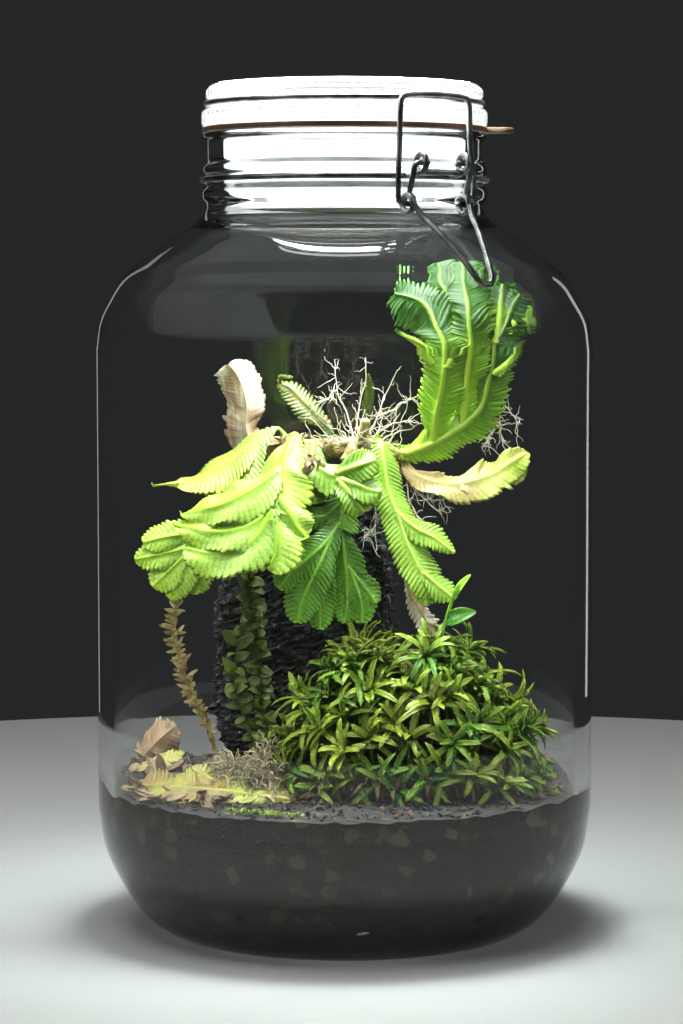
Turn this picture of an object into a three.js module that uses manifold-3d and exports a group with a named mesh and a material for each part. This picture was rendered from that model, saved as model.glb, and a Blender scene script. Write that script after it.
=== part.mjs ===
// A glass plant terrarium: a clip-top glass jar of about eight litres with soil, a post of black
// fibre, a crested fern that grows on its top, a cushion of strap-leaved rosettes and fallen fronds.
// Millimetres. +Z is up, z = 0 is the surface the jar stands on, the origin is on the jar's axis.
// The wire latch faces -Y and the lid's hinge faces +Y.

import * as THREE from 'three';
import { mergeVertices } from 'three/addons/utils/BufferGeometryUtils.js';
import Module from 'manifold-3d';

const wasm = await Module();
wasm.setup();

// Driving dimensions

const GAP = 0.3; // clearance between pieces that touch
const WIRE = 1.2; // radius of the lid, neck and latch wires
const SLIVER = 0.16; // the finest detail kept where blades are fused
const ROUND = 32; // facets around the glass

const BODY_R = 104;
const WALL = 6.7;
const FLOOR_Z = 9.5;
const MOUTH_R = 50.5;
const NECK_R = 57.5;
const RIM_R = 59.3;
const RIM_Z = 332.4;

const GASKET = { inner: 49.6, outer: 59.4, thick: 2.2, tabWidth: 12, tabReach: 70.5 };
const LID_Z = RIM_Z + GAP + GASKET.thick + GAP;
const LID = { flangeR: 59.5, grooveR: 56, topR: 57.7, plugR: 48.8, grooveZ: 342.5, topZ: 352.5 };

const NECK_RING = { r: 59.35, z: 313.1 };
const LID_RING = { r: 57.6, z: 344.5, lugR: 60.4, lugHalfAngle: 17 };

const LATCH_PIVOT = { y: -68, z: 318 }; // the lever turns here, in the neck ring's eyelets
const BAIL_PIVOT = { y: -64, z: 302 }; // the bail turns here, in the lever's coils
const EYE_R = 3.55; // centre-line radius of an eyelet or coil
const EYELET_X = 10.5;
const LEVER_X = 14;
const BAIL = { topX: 17, footX: 18.8, endX: 10.4, topY: -63.1, topZ: 345 };
const HANDLE_TIP = { y: -97.2, z: 269.8 };

const HINGE = { y: 67, z: 336, eyeX: 9, armX: 14, eyeR: 3.4 };

// The photograph looks from 35 degrees left of the latch, so the plants are laid out in that view's
// own frame: x to the right, y away from the viewer, z up.
const VIEW_TURN = THREE.MathUtils.degToRad(-35);

const SOIL_Z = 61;
const POST = { x: -14, y: 25, halfX: 43, halfY: 19, top: 193 };
const BUSH = { x: 27, y: -30, halfX: 51, halfY: 24, height: 56, matHeight: 22, stems: 17 };

const LEAFLET_PITCH = 7.8;
const BLADE_THICK = 0.7;
const RIB_THICK = 1.8;

const COLOURS = {
  glass: 0xdfe8e6,
  rubber: 0x9a7f62,
  wire: 0x2b2d2e,
  soil: 0x1d1713,
  post: 0x0d0d0e,
  rhizome: 0xb79a62,
  paleFrond: 0xb4da4e,
  greenFrond: 0x5fa52a,
  oliveFrond: 0x86a23b,
  deadFrond: 0xe4d0a2,
  blushFrond: 0xe3d68b,
  root: 0xe8e0cc,
  climber: 0x3b5a1c,
  bush: 0x3d6b2c,
  fallen: 0xb9a63c,
  husk: 0x8a6b45,
  moss: 0xa8946c,
};

// Solids and small helpers

const v3 = (x, y, z) => new THREE.Vector3(x, y, z);

function randomFrom(seed) {
  let state = seed;
  return () => {
    state = (state * 1664525 + 1013904223) % 4294967296;
    return state / 4294967296;
  };
}

function signedVolume(position, index) {
  let sum = 0;
  const [a, b, c] = [v3(), v3(), v3()];
  for (let i = 0; i < index.count; i += 3) {
    a.fromBufferAttribute(position, index.getX(i));
    b.fromBufferAttribute(position, index.getX(i + 1));
    c.fromBufferAttribute(position, index.getX(i + 2));
    sum += a.dot(b.cross(c)) / 6;
  }
  return sum;
}

function solidOf(geometry) {
  const bare = geometry.clone();
  for (const name of ['normal', 'uv']) bare.deleteAttribute(name);
  const merged = mergeVertices(bare, 1e-4);
  const triangles = Uint32Array.from(merged.index.array);
  if (signedVolume(merged.attributes.position, merged.index) < 0) triangles.reverse();
  const vertProperties = Float32Array.from(merged.attributes.position.array);
  return new wasm.Manifold(new wasm.Mesh({ numProp: 3, vertProperties, triVerts: triangles }));
}

function geometryOf(solid) {
  const mesh = solid.getMesh();
  const geometry = new THREE.BufferGeometry();
  geometry.setAttribute('position', new THREE.BufferAttribute(mesh.vertProperties, 3));
  geometry.setIndex(new THREE.BufferAttribute(mesh.triVerts, 1));
  geometry.computeVertexNormals();
  return geometry;
}

function fuse(solids) {
  return solids.reduce((sum, solid) => sum.add(solid));
}

// The largest body of a fused solid, without the slivers that crossing blades leave.
function largestBody(solid) {
  const bodies = solid.simplify(SLIVER).decompose();
  return bodies.reduce((best, body) => (body.volume() > best.volume() ? body : best));
}

// A solid cut back from a neighbour, so that it seats against it with the usual clearance.
function clearOf(solid, neighbour) {
  const { min, max } = solid.boundingBox();
  const room = wasm.Manifold.cube(max.map((value, i) => value - min[i] + 4 * GAP));
  const near = neighbour.intersect(room.translate(min.map((value) => value - 2 * GAP)));
  const shifts = [[0, 0, 0], [1, 0, 0], [-1, 0, 0], [0, 1, 0], [0, -1, 0], [0, 0, 1], [0, 0, -1]];
  const swollen = shifts.map((shift) => near.translate(shift.map((step) => step * GAP)));
  return swollen.reduce((rest, copy) => rest.subtract(copy), solid);
}

function lathe(profile, segments = ROUND) {
  const points = profile.map(([r, z]) => new THREE.Vector2(r, z));
  return new THREE.LatheGeometry(points, segments).rotateX(Math.PI / 2);
}

function smooth(keys, count) {
  const spline = new THREE.SplineCurve(keys.map(([r, z]) => new THREE.Vector2(r, z)));
  return spline.getPoints(count).map((p) => [p.x, p.y]);
}

function tube(points, radius, steps, sides = 6) {
  const section = new THREE.Shape();
  for (let i = 0; i < sides; i += 1) {
    const turn = (i / sides) * 2 * Math.PI;
    const corner = [radius * Math.cos(turn), radius * Math.sin(turn)];
    if (i === 0) section.moveTo(...corner);
    else section.lineTo(...corner);
  }
  const route = new THREE.CatmullRomCurve3(points.map((p) => v3(...p)), false, 'centripetal');
  return new THREE.ExtrudeGeometry(section, { steps, extrudePath: route, bevelEnabled: false });
}

function eye(x, y, z, radius) {
  const loop = new THREE.TorusGeometry(radius, WIRE, 5, 9);
  return loop.rotateY(Math.PI / 2).translate(x, y, z);
}

// Glass

function jarGeometry() {
  const foot = [[0, 3], [58, 3], [65, 0], [75, 0]];
  const heel = smooth([[75, 0], [84.5, 6], [93.8, 18.9], [101, 34], [BODY_R, 52]], 4).slice(1);
  const shoulderKeys = [[BODY_R, 243], [102.2, 255], [97.8, 264.6], [92.4, 273], [84, 280.1],
    [76.9, 285.5], [68.6, 291.3], [62.2, 295.4], [57.8, 299.8]];
  const shoulder = smooth(shoulderKeys, 6);
  const lowBead = [[57.8, 302.6], [59.5, 304.8], [59.8, 308.4], [57.8, 311.2]];
  const highBead = [[57.8, 314.8], [59.3, 316.2], [59.2, 318.6], [NECK_R, 320.8]];
  const rim = [[NECK_R, 329.2], [RIM_R, 330.4], [RIM_R, RIM_Z], [MOUTH_R, RIM_Z]];
  const innerR = BODY_R - WALL;
  const innerShoulder = smooth([[MOUTH_R, 299], [55.5, 291.5], [70, 281.5], [84, 270.5],
    [93.5, 259], [innerR, 243]], 4);
  const innerHeel = smooth([[innerR, 52], [93.6, 34], [86.5, 21.5], [75, 12.2], [64, FLOOR_Z]], 4);
  return lathe([...foot, ...heel, ...shoulder, ...lowBead, ...highBead, ...rim,
    ...innerShoulder, ...innerHeel, [0, FLOOR_Z]]);
}

function lidGeometry() {
  const underside = [[0, LID_Z - 1.6], [40, LID_Z - 2], [44, LID_Z - 4.5], [LID.plugR, LID_Z - 4.5],
    [LID.plugR, LID_Z]];
  const flange = [[LID.flangeR - 0.6, LID_Z], [LID.flangeR, LID_Z + 0.8],
    [LID.flangeR, LID.grooveZ - 1.4], [LID.flangeR - 1.4, LID.grooveZ]];
  const groove = [[LID.grooveR, LID.grooveZ], [LID.grooveR, LID.grooveZ + 4]];
  const top = [[LID.topR - 0.5, LID.grooveZ + 4], [LID.topR, LID.grooveZ + 5],
    [LID.topR, LID.topZ - 2], [LID.topR - 2, LID.topZ], [0, LID.topZ]];
  return lathe([...underside, ...flange, ...groove, ...top]);
}

// Gasket, with its pull tab

function gasketSolid() {
  const [low, high] = [RIM_Z + GAP, RIM_Z + GAP + GASKET.thick];
  const ring = lathe([[GASKET.inner, low], [GASKET.outer, low], [GASKET.outer, high],
    [GASKET.inner, high], [GASKET.inner, low]]);
  const start = GASKET.outer - 3;
  const straight = GASKET.tabReach - start - GASKET.tabWidth / 2;
  const outline = new THREE.Shape();
  outline.moveTo(0, -GASKET.tabWidth / 2);
  outline.lineTo(straight, -GASKET.tabWidth / 2);
  outline.absarc(straight, 0, GASKET.tabWidth / 2, -Math.PI / 2, Math.PI / 2);
  outline.lineTo(0, GASKET.tabWidth / 2);
  const tab = new THREE.ExtrudeGeometry(outline,
    { depth: GASKET.thick, bevelEnabled: false, curveSegments: 8 });
  tab.translate(start, 0, low).rotateZ(VIEW_TURN);
  return solidOf(ring).add(solidOf(tab));
}

// Wires of the lid, the neck and the latch

function ringWire(radius, z) {
  const ring = new THREE.TorusGeometry(radius, WIRE, 5, ROUND);
  return solidOf(ring.translate(0, 0, z));
}

function lidRingPoint(index) {
  const fromFront = (((index / ROUND) * 360 + 180) % 360) - 180;
  const rise = THREE.MathUtils.smoothstep(LID_RING.lugHalfAngle - Math.abs(fromFront), 0, 11);
  const r = LID_RING.r + rise * (LID_RING.lugR - LID_RING.r);
  const turn = THREE.MathUtils.degToRad(fromFront - 90);
  return [r * Math.cos(turn), r * Math.sin(turn), LID_RING.z + 0.7 * rise];
}

// The lid's wire: a ring that stands out as a lug at the front, and carries the hinge pin behind.
function lidRingSolid() {
  const half = (from) => {
    const points = Array.from({ length: ROUND / 2 + 2 }, (_, i) => lidRingPoint(from + i));
    return solidOf(tube(points, WIRE, ROUND / 2 + 1, 5));
  };
  const { y, z, armX } = HINGE;
  const ringY = Math.sqrt(LID_RING.r ** 2 - armX ** 2);
  const side = [[armX, ringY - 0.4, LID_RING.z], [armX, ringY + 6, LID_RING.z - 0.2],
    [armX, y, LID_RING.z - 3], [armX, y, z + 1.6], [armX - 1.6, y, z]];
  const mirrored = side.map(([px, py, pz]) => [-px, py, pz]).reverse();
  return fuse([half(0), half(ROUND / 2), solidOf(tube([...side, ...mirrored], WIRE, 14, 5))]);
}

function neckRingSolid() {
  const pieces = [ringWire(NECK_RING.r, NECK_RING.z)];
  const ringY = (x) => Math.sqrt(NECK_RING.r ** 2 - x ** 2);
  const eyeFoot = LATCH_PIVOT.z - EYE_R;
  for (const side of [-1, 1]) {
    const x = side * EYELET_X;
    pieces.push(solidOf(eye(x, LATCH_PIVOT.y, LATCH_PIVOT.z, EYE_R)));
    const stub = [[x, -ringY(x), NECK_RING.z], [x, (LATCH_PIVOT.y - ringY(x)) / 2, NECK_RING.z + 0.2],
      [x, LATCH_PIVOT.y, eyeFoot]];
    pieces.push(solidOf(tube(stub, WIRE, 3, 5)));
    const backX = side * HINGE.eyeX;
    pieces.push(solidOf(eye(backX, HINGE.y, HINGE.z, HINGE.eyeR)));
    const upright = [[backX, ringY(backX), NECK_RING.z], [backX, HINGE.y - 2, NECK_RING.z + 0.6],
      [backX, HINGE.y, NECK_RING.z + 4], [backX, HINGE.y, HINGE.z - HINGE.eyeR]];
    pieces.push(solidOf(tube(upright, WIRE, 5, 5)));
  }
  const bridge = [[-EYELET_X, LATCH_PIVOT.y, eyeFoot], [0, LATCH_PIVOT.y - 0.6, eyeFoot],
    [EYELET_X, LATCH_PIVOT.y, eyeFoot]];
  pieces.push(solidOf(tube(bridge, WIRE, 2, 5)));
  return fuse(pieces);
}

function leverSolid() {
  const pieces = [];
  const top = LATCH_PIVOT;
  const coil = BAIL_PIVOT;
  for (const side of [-1, 1]) {
    const shank = [[side * 6.8, top.y, top.z], [side * 12, top.y, top.z],
      [side * 13.6, top.y, top.z - 1],
      [side * LEVER_X, top.y + 0.4, top.z - 4], [side * LEVER_X, coil.y - 0.6, coil.z + EYE_R]];
    pieces.push(solidOf(tube(shank, WIRE, 7, 5)));
    pieces.push(solidOf(eye(side * LEVER_X, coil.y, coil.z, EYE_R)));
  }
  const leftArm = [[LEVER_X, coil.y - EYE_R, coil.z], [12.6, -71, 297.4], [10.6, -77.5, 291.7],
    [8.1, -84.4, 285.2], [5.6, -91, 278.2], [3.7, -95.6, 272.3]];
  const tip = [[2.1, -97, 270.2], [0, HANDLE_TIP.y, HANDLE_TIP.z], [-2.1, -97, 270.2]];
  const rightArm = leftArm.map(([x, y, z]) => [-x, y, z]).reverse();
  pieces.push(solidOf(tube([...leftArm, ...tip, ...rightArm], WIRE, 22, 5)));
  return fuse(pieces);
}

function bailSolid() {
  const { topX, footX, endX, topY, topZ } = BAIL;
  const { y, z } = BAIL_PIVOT;
  const half = [[endX, y, z], [footX - 2.4, y, z], [footX - 0.5, y, z + 0.7], [footX, y, z + 3],
    [footX - 0.2, y + 0.2, z + 12], [topX + 0.5, topY, z + 26], [topX, topY, topZ - 4],
    [topX - 0.8, topY, topZ - 1.2], [topX - 3.4, topY, topZ]];
  const mirrored = half.map(([x, py, pz]) => [-x, py, pz]).reverse();
  return solidOf(tube([...half, ...mirrored], WIRE, 36, 5));
}

// Soil, post and rhizome

function flatGround(x, y) {
  const post = Math.hypot((x - POST.x) / (POST.halfX + 8), (y - POST.y) / (POST.halfY + 8));
  const bush = Math.hypot((x - BUSH.x) / (BUSH.halfX + 10), (y - BUSH.y) / (BUSH.halfY + 10));
  return Math.min(post, bush) < 1;
}

function soilHeight(x, y) {
  if (flatGround(x, y)) return SOIL_Z;
  const crumbs = -1.2 * Math.abs(Math.sin(x * 0.23 + 1) * Math.cos(y * 0.19));
  const heap = 5 * THREE.MathUtils.smoothstep(x + y, 88, 125);
  const bank = 5 * THREE.MathUtils.smoothstep(-x, 66, 84) * THREE.MathUtils.smoothstep(y, -40, -10);
  return SOIL_Z + crumbs + heap + bank;
}

function soilGeometry() {
  const innerR = BODY_R - WALL - 0.5;
  const bed = [[0, FLOOR_Z + GAP], [63, FLOOR_Z + GAP]];
  const side = smooth([[63, FLOOR_Z + GAP], [74, 12.8], [85.6, 22.2], [92.8, 34.6], [innerR, 54]], 4);
  const top = [[innerR, SOIL_Z], [84, SOIL_Z], [70, SOIL_Z], [50, SOIL_Z], [0, SOIL_Z]];
  const geometry = lathe([...bed, ...side.slice(1), ...top], 26);
  const position = geometry.attributes.position;
  for (let i = 0; i < position.count; i += 1) {
    const [x, y, z] = [position.getX(i), position.getY(i), position.getZ(i)];
    if (z > SOIL_Z - 1) position.setZ(i, soilHeight(x, y));
  }
  return geometry;
}

function postGeometry() {
  const random = randomFrom(7);
  const [around, levels] = [18, 9];
  const phases = Array.from({ length: 6 }, () => random() * 6.28);
  const profile = [];
  for (let i = 0; i <= levels; i += 1) profile.push([1, i / levels]);
  const geometry = lathe([[0, 0], [0.96, 0], ...profile.slice(1, -1), [0.9, 1], [0, 1.03]], around);
  const position = geometry.attributes.position;
  const height = POST.top - SOIL_Z - GAP;
  for (let i = 0; i < position.count; i += 1) {
    const [x, y, t] = [position.getX(i), position.getY(i), position.getZ(i)];
    const turn = Math.atan2(y, x);
    const square = 1 / Math.max(Math.abs(Math.cos(turn)), Math.abs(Math.sin(turn))) ** 0.75;
    const ridges = 0.045 * Math.sin(3 * turn + phases[0] + 5 * t);
    const hollows = 0.04 * Math.sin(5 * turn + phases[1] - 8 * t);
    const rough = 1 + ridges + hollows + 0.03 * Math.sin(17 * t + 2 * turn + phases[2]);
    const scale = square * (t > 0 && t < 1 ? rough : 1) * (1 - 0.2 * t * t) * 0.92;
    position.setXYZ(i, POST.x + x * scale * POST.halfX - 4 * t, POST.y + y * scale * POST.halfY,
      SOIL_Z + GAP + t * height);
  }
  return geometry;
}

const RHIZOME_ROUTE = [[-27, -3, 205], [-16, 0, 203], [-4, 1, 201], [8, -1, 204], [18, -3, 201],
  [27, -2, 197]];
const RHIZOME_R = 4.6;

function rhizomeSolid(extra = 0) {
  const stem = solidOf(tube(RHIZOME_ROUTE, RHIZOME_R + extra, 9, 7));
  const stub = solidOf(tube([[6, -1, 203], [8, -6, 209], [9, -8, 214]], 2.2 + extra, 4, 6));
  const oldBase = solidOf(tube([[4, -2, 204], [3, -8, 201], [0, -11, 196]], 2.6 + extra, 4, 6));
  return fuse([stem, stub, oldBase]);
}

// Fern fronds

// A thin plate: each station has a left edge, a top, a right edge and a bottom point. Both faces
// are split alike, so a waved plate never cuts itself.
function plate(stations) {
  const faces = [];
  const last = stations.length - 1;
  for (let i = 0; i < last; i += 1) {
    for (let k = 0; k < 4; k += 1) {
      const [a, b] = [i * 4 + k, i * 4 + ((k + 1) % 4)];
      const [c, d] = [b + 4, a + 4];
      const fromFirst = (k % 2 === 0) === (i % 2 === 1);
      if (fromFirst) faces.push([a, b, c], [a, c, d]);
      else faces.push([a, b, d], [b, c, d]);
    }
  }
  const end = last * 4;
  faces.push([0, 3, 2], [0, 2, 1], [end, end + 1, end + 2], [end, end + 2, end + 3]);
  const geometry = new THREE.BufferGeometry().setFromPoints(stations.flat());
  geometry.setIndex(faces.flat());
  return geometry;
}

// One branch of a frond: a thin plate along a rib, arched across, with both edges cut into
// leaflets that lean towards the tip. rib lists x, y, z and half width.
function frondBlade(rib, face, { pitch = LEAFLET_PITCH, cut = 0.55, lean = 0.4, arch = 0.22 } = {}) {
  const route = new THREE.CatmullRomCurve3(rib.map(([x, y, z]) => v3(x, y, z)), false, 'centripetal');
  const steps = 2 * Math.max(2, Math.round(route.getLength() / pitch));
  const hint = v3(...face).normalize();
  const stations = [];
  for (let i = 0; i <= steps; i += 1) {
    const t = i / steps;
    const centre = route.getPoint(t);
    const along = route.getTangent(t);
    const side = along.clone().cross(hint).normalize();
    const normal = side.clone().cross(along).normalize();
    const place = t * (rib.length - 1);
    const low = Math.min(Math.floor(place), rib.length - 2);
    const half = Math.max(0.7, THREE.MathUtils.lerp(rib[low][3], rib[low + 1][3], place - low));
    const isTip = i % 2 === 1;
    const reach = Math.max(0.7, half * (isTip ? 1 : cut));
    const forward = i === steps ? 0 : half * lean * (isTip ? 1 : 0.35);
    const drop = -arch * half * (reach / half) ** 2;
    const ribHalf = THREE.MathUtils.lerp(RIB_THICK, BLADE_THICK + 0.3, t) / 2;
    const edge = (across) => centre.clone().addScaledVector(side, across * reach)
      .addScaledVector(along, forward).addScaledVector(normal, drop);
    stations.push([edge(-1), centre.clone().addScaledVector(normal, ribHalf), edge(1),
      centre.clone().addScaledVector(normal, -ribHalf)]);
  }
  return plate(stations);
}

const TO_VIEWER = [0.1, -1, 0.45];

const FRONDS = {
  frond_front_left: {
    colour: 'paleFrond', face: [-0.25, -0.8, 0.75],
    ribs: [
      [[-20, -2, 204, 1.6], [-21, -9, 207, 2.5], [-23, -18, 202, 5.5], [-26, -25, 194, 9],
       [-26, -30, 187, 9], [-29, -36, 178, 8]],
      [[-26, -24, 195, 2], [-33, -30, 189, 8], [-41, -34, 184, 8.5], [-50, -35, 180, 6],
       [-58, -34, 178, 4.5], [-66, -32, 176, 1.2]],
      [[-27, -33, 183, 2], [-35, -38, 174, 7.5], [-45, -40, 170, 7], [-55, -39, 169.5, 5.5],
       [-62, -37, 171, 4], [-69, -35, 172, 1]],
      [[-29, -37, 178, 2], [-36, -42, 167, 8], [-44, -43, 162, 8], [-54, -42, 161, 7],
       [-64, -40, 163, 2.5]],
      [[-29, -36, 178, 3], [-27, -42, 168, 7.5], [-28, -45, 160, 7], [-31, -46, 155, 2.5]],
      [[-27, -33, 184, 2], [-22, -38, 176, 6], [-19, -40, 171, 5], [-15, -41, 167, 1]],
    ],
  },
  frond_left_narrow: {
    colour: 'paleFrond', face: [-0.2, -0.6, 1],
    ribs: [
      [[-24, 0, 205, 1.6], [-28, -3, 210, 2.2], [-34, -7, 207, 5], [-43, -11, 200, 8.5],
       [-55, -15, 191, 8], [-64, -17, 188, 4], [-69, -18, 188, 1], [-79, -18, 187, 0.8]],
      [[-34, -8, 206, 2], [-38, -13, 200, 6.5], [-42, -17, 193, 7], [-47, -20, 186, 5.5],
       [-53, -22, 181, 1.5]],
    ],
  },
  frond_left_low: {
    colour: 'greenFrond', face: [-0.3, -1, 0.3],
    ribs: [
      [[-12, 0, 203, 1.4], [-17, -8, 196, 1.2], [-27, -16, 187, 1.2], [-44, -22, 174, 1.6],
       [-60, -25, 164, 3.5]],
      [[-56, -24, 166, 2.5], [-66, -25, 167, 5], [-74, -26, 166, 4.5], [-82, -26, 164, 1.5]],
      [[-58, -25, 164, 2.5], [-67, -26, 161, 5], [-76, -27, 159, 4.5], [-85, -27, 157, 1.5]],
      [[-59, -25, 164, 2.5], [-67, -27, 157, 5], [-73, -28, 151, 5], [-78, -28, 146, 1.5]],
      [[-59, -25, 165, 2.5], [-64, -28, 156, 5.5], [-68, -29, 149, 5], [-71, -29, 141, 1.5]],
      [[-57, -25, 166, 2.5], [-59, -28, 156, 5.5], [-61, -29, 149, 4.5], [-61, -29, 143, 1.5]],
    ],
  },
  frond_back_left: {
    colour: 'oliveFrond', face: [0.3, -0.9, 0.6],
    ribs: [
      [[-6, 1, 203, 1.4], [-7, 4, 210, 2.5], [-12, 6, 215, 5.8], [-18, 8, 221, 5.5], [-23, 10, 226, 4],
       [-27, 11, 228, 1.8], [-27, 10, 231, 1], [-22, 9, 231, 0.9]],
    ],
  },
  frond_dead_stub: {
    colour: 'deadFrond', face: [0.1, -1, 0.1], options: { cut: 0.85, lean: 0.2, arch: 0.55 },
    ribs: [
      [[-22, 2, 205, 1.4], [-29, 6, 203, 1.6], [-38, 8, 203, 2.5], [-45, 8, 208, 5.5],
       [-44, 8, 215, 6], [-43, 8, 222, 6.5], [-45, 8, 230, 6], [-50, 8, 235, 4]],
    ],
  },
  frond_young: {
    colour: 'oliveFrond', face: TO_VIEWER, options: { cut: 0.6, pitch: 4 },
    ribs: [
      [[9, -1, 203, 1.2], [8.6, 3, 211, 1.4], [9.4, 3, 218, 2.4], [10.5, 2, 225, 2], [10, 1, 233, 0.8]],
    ],
  },
  frond_centre: {
    colour: 'greenFrond', face: [0.2, -1, 0.6],
    ribs: [
      [[-12, -1, 203, 1.6], [-13, -8, 203, 3], [-13, -16, 197, 6], [-8, -21, 193, 6.5],
       [-1, -24, 190, 5.5]],
      [[-4, -22, 192, 2.5], [1, -24, 194, 5], [7, -25, 196, 5], [13, -25, 198, 2]],
      [[-2, -24, 190, 2.5], [5, -27, 188, 5], [10, -28, 186, 4.5], [15, -29, 185, 2]],
      [[-3, -24, 190, 2.5], [1, -27, 186, 4.5], [5, -29, 181, 4.5], [8, -30, 177, 2]],
      [[-13, -15, 198, 2.5], [-14, -19, 191, 4.5], [-13, -22, 185, 4.5], [-12, -24, 180, 1.5]],
    ],
  },
  frond_low_centre: {
    colour: 'greenFrond', face: [0, -1, 0.35],
    ribs: [
      [[2, 0, 201, 1.6], [2, -9, 196, 2.2], [1, -14, 188, 3], [-1, -19, 181, 6], [-2, -25, 170, 7.5]],
      [[-1, -19, 180, 2], [-8, -23, 175, 5], [-16, -25, 174, 1.5]],
      [[-2, -24, 172, 2.5], [-8, -29, 164, 7], [-16, -32, 157, 7], [-22, -33, 152, 5.5],
       [-27, -34, 146, 2]],
      [[-5, -27, 167, 2.5], [-10, -32, 156, 7], [-15, -34, 146, 7], [-18, -35, 138, 5.5],
       [-19, -35, 132, 2]],
      [[-6, -29, 162, 2.5], [-9, -31, 149, 5.5], [-10, -32, 138, 5.5], [-10, -32, 129, 2]],
      [[-2, -24, 171, 2.5], [0, -26, 159, 7], [1, -27, 148, 7], [1, -28, 139, 5.5], [0, -28, 131, 2]],
      [[0, -25, 158, 2.5], [4, -27, 148, 5.5], [7, -28, 139, 5.5], [7, -28, 131, 2]],
      [[1, -26, 154, 2.5], [8, -27, 146, 5], [13, -28, 139, 2]],
    ],
  },
  frond_right_hanging: {
    colour: 'greenFrond', face: [0.3, -1, 0.4],
    ribs: [
      [[14, -2, 203, 1.8], [15, -8, 205, 3.5], [16, -13, 199, 6], [18, -18, 186, 6.5],
       [22, -23, 175, 7], [27, -28, 161, 7.5], [33, -31, 150, 7], [37, -32, 143, 2.5]],
      [[30, -30, 155, 2.5], [33, -31, 147, 5], [33, -32, 139, 2]],
      [[32, -31, 152, 2.5], [38, -32, 147, 5.5], [44, -33, 142, 2]],
      [[21, -22, 177, 2.5], [29, -25, 170, 5.5], [37, -27, 166, 4.5], [45, -29, 160, 0.8]],
    ],
  },
  frond_right_fan: {
    colour: 'paleFrond', face: [-0.15, -1, 0.1],
    ribs: [
      [[19, -3, 201, 1.8], [26, -7, 200, 3.5], [35, -9, 203, 6], [44, -11, 208, 6], [51, -13, 213, 7],
       [57, -14, 220, 6.5], [59, -15, 228, 6.5], [61, -15, 237, 6.5], [62, -14, 246, 6.5],
       [66, -11, 254, 6], [75, -8, 263, 2.5]],
      [[49, -12, 212, 2.5], [50, -14, 224, 6], [51, -16, 236, 6.5], [52, -17, 247, 6],
       [51, -17, 255, 5], [51, -16, 262, 1.5]],
      [[37, -9, 204, 3], [38, -12, 216, 6.5], [40, -15, 226, 7.5], [41, -17, 236, 7.5],
       [41, -17, 246, 6.5], [38, -13, 255, 6], [31, -8, 262, 5], [22, -3, 266, 1.5]],
      [[41, -17, 236, 2.5], [45, -16, 244, 5.5], [46, -12, 252, 5.5], [45, -6, 261, 5],
       [42, 0, 269, 1.5]],
      [[52, -16, 245, 2.5], [55, -12, 253, 5], [57, -7, 261, 5], [56, -2, 268, 1.5]],
      [[62, -14, 246, 2.5], [64, -10, 255, 4.5], [66, -6, 264, 1.5]],
      [[37, -15, 238, 2.5], [29, -17, 248, 1.4], [21, -18, 255, 0.8]],
      [[61, -15, 233, 2.5], [68, -16, 239, 1.8], [74, -16, 248, 0.8]],
      [[69, -10, 257, 2.5], [75, -9, 257, 3.5], [77, -8, 252, 1.5]],
    ],
  },
  frond_blush: {
    colour: 'blushFrond', face: [0, -0.8, 0.8], options: { cut: 0.75, lean: 0.35 },
    ribs: [
      [[24, -2, 198, 1.6], [28, -7, 192, 4], [37, -10, 188, 6], [46, -12, 187, 8], [55, -13, 189, 10],
       [63, -13, 192, 8], [69, -12, 196, 6], [76, -11, 200, 2.5]],
      [[48, -12, 187, 3], [54, -14, 185, 4], [58, -15, 181, 1.5]],
      [[64, -13, 192, 3], [70, -12, 192, 4], [76, -12, 195, 1.5]],
    ],
  },
  frond_dead_hanging: {
    colour: 'deadFrond', face: [0.2, -1, 0.2], options: { cut: 0.7 },
    ribs: [
      [[22, -3, 199, 1.2], [22, -9, 190, 1], [23, -15, 172, 1], [25, -19, 155, 1.2],
       [27, -22, 143, 2.5], [30, -24, 137, 4.5], [34, -26, 131, 4.5], [39, -28, 126, 1.5]],
    ],
  },
};

function frondSolid({ face, ribs, options }, seat) {
  const blades = ribs.map((rib) => solidOf(frondBlade(rib, face, options)));
  return largestBody(fuse(blades).subtract(seat));
}

// Aerial roots

const ROOT_R = 0.5;
const ROOTS = {
  roots_top: [
    [[4, -1, 204], [2, 1, 214], [-3, 3, 226], [-4, 4, 240]],
    [[-3, 3, 226], [-9, 3, 220]],
    [[6, -1, 205], [5, 3, 216], [9, 4, 230], [8, 5, 242]],
    [[8, -1, 205], [14, 2, 215], [19, 3, 228], [22, 2, 235]],
    [[14, 2, 215], [22, 2, 219], [30, 1, 224]],
    [[11, -1, 205], [20, 0, 212], [31, -1, 212]],
  ],
  roots_right: [
    [[59, -13, 224], [64, -12, 221], [69, -12, 217], [72, -12, 211]],
    [[64, -12, 221], [64, -11, 213], [66, -11, 204]],
    [[64, -11, 213], [60, -11, 207], [57, -12, 202]],
  ],
  roots_low: [
    [[20, -2, 200], [26, -6, 189], [32, -10, 182], [41, -14, 174]],
    [[32, -10, 182], [37, -11, 180], [44, -13, 182]],
    [[26, -6, 189], [28, -10, 178], [35, -15, 168]],
    [[12, -1, 201], [13, -8, 186], [13, -13, 170], [14, -16, 160]],
    [[13, -13, 170], [7, -15, 164]],
  ],
};

function rootSolid(paths, seat) {
  const threads = paths.map((path) => solidOf(tube(path, ROOT_R, (path.length - 1) * 2, 3)));
  return largestBody(fuse(threads).subtract(seat));
}

// Small leaves of the climbing stem and the side shoots

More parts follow.
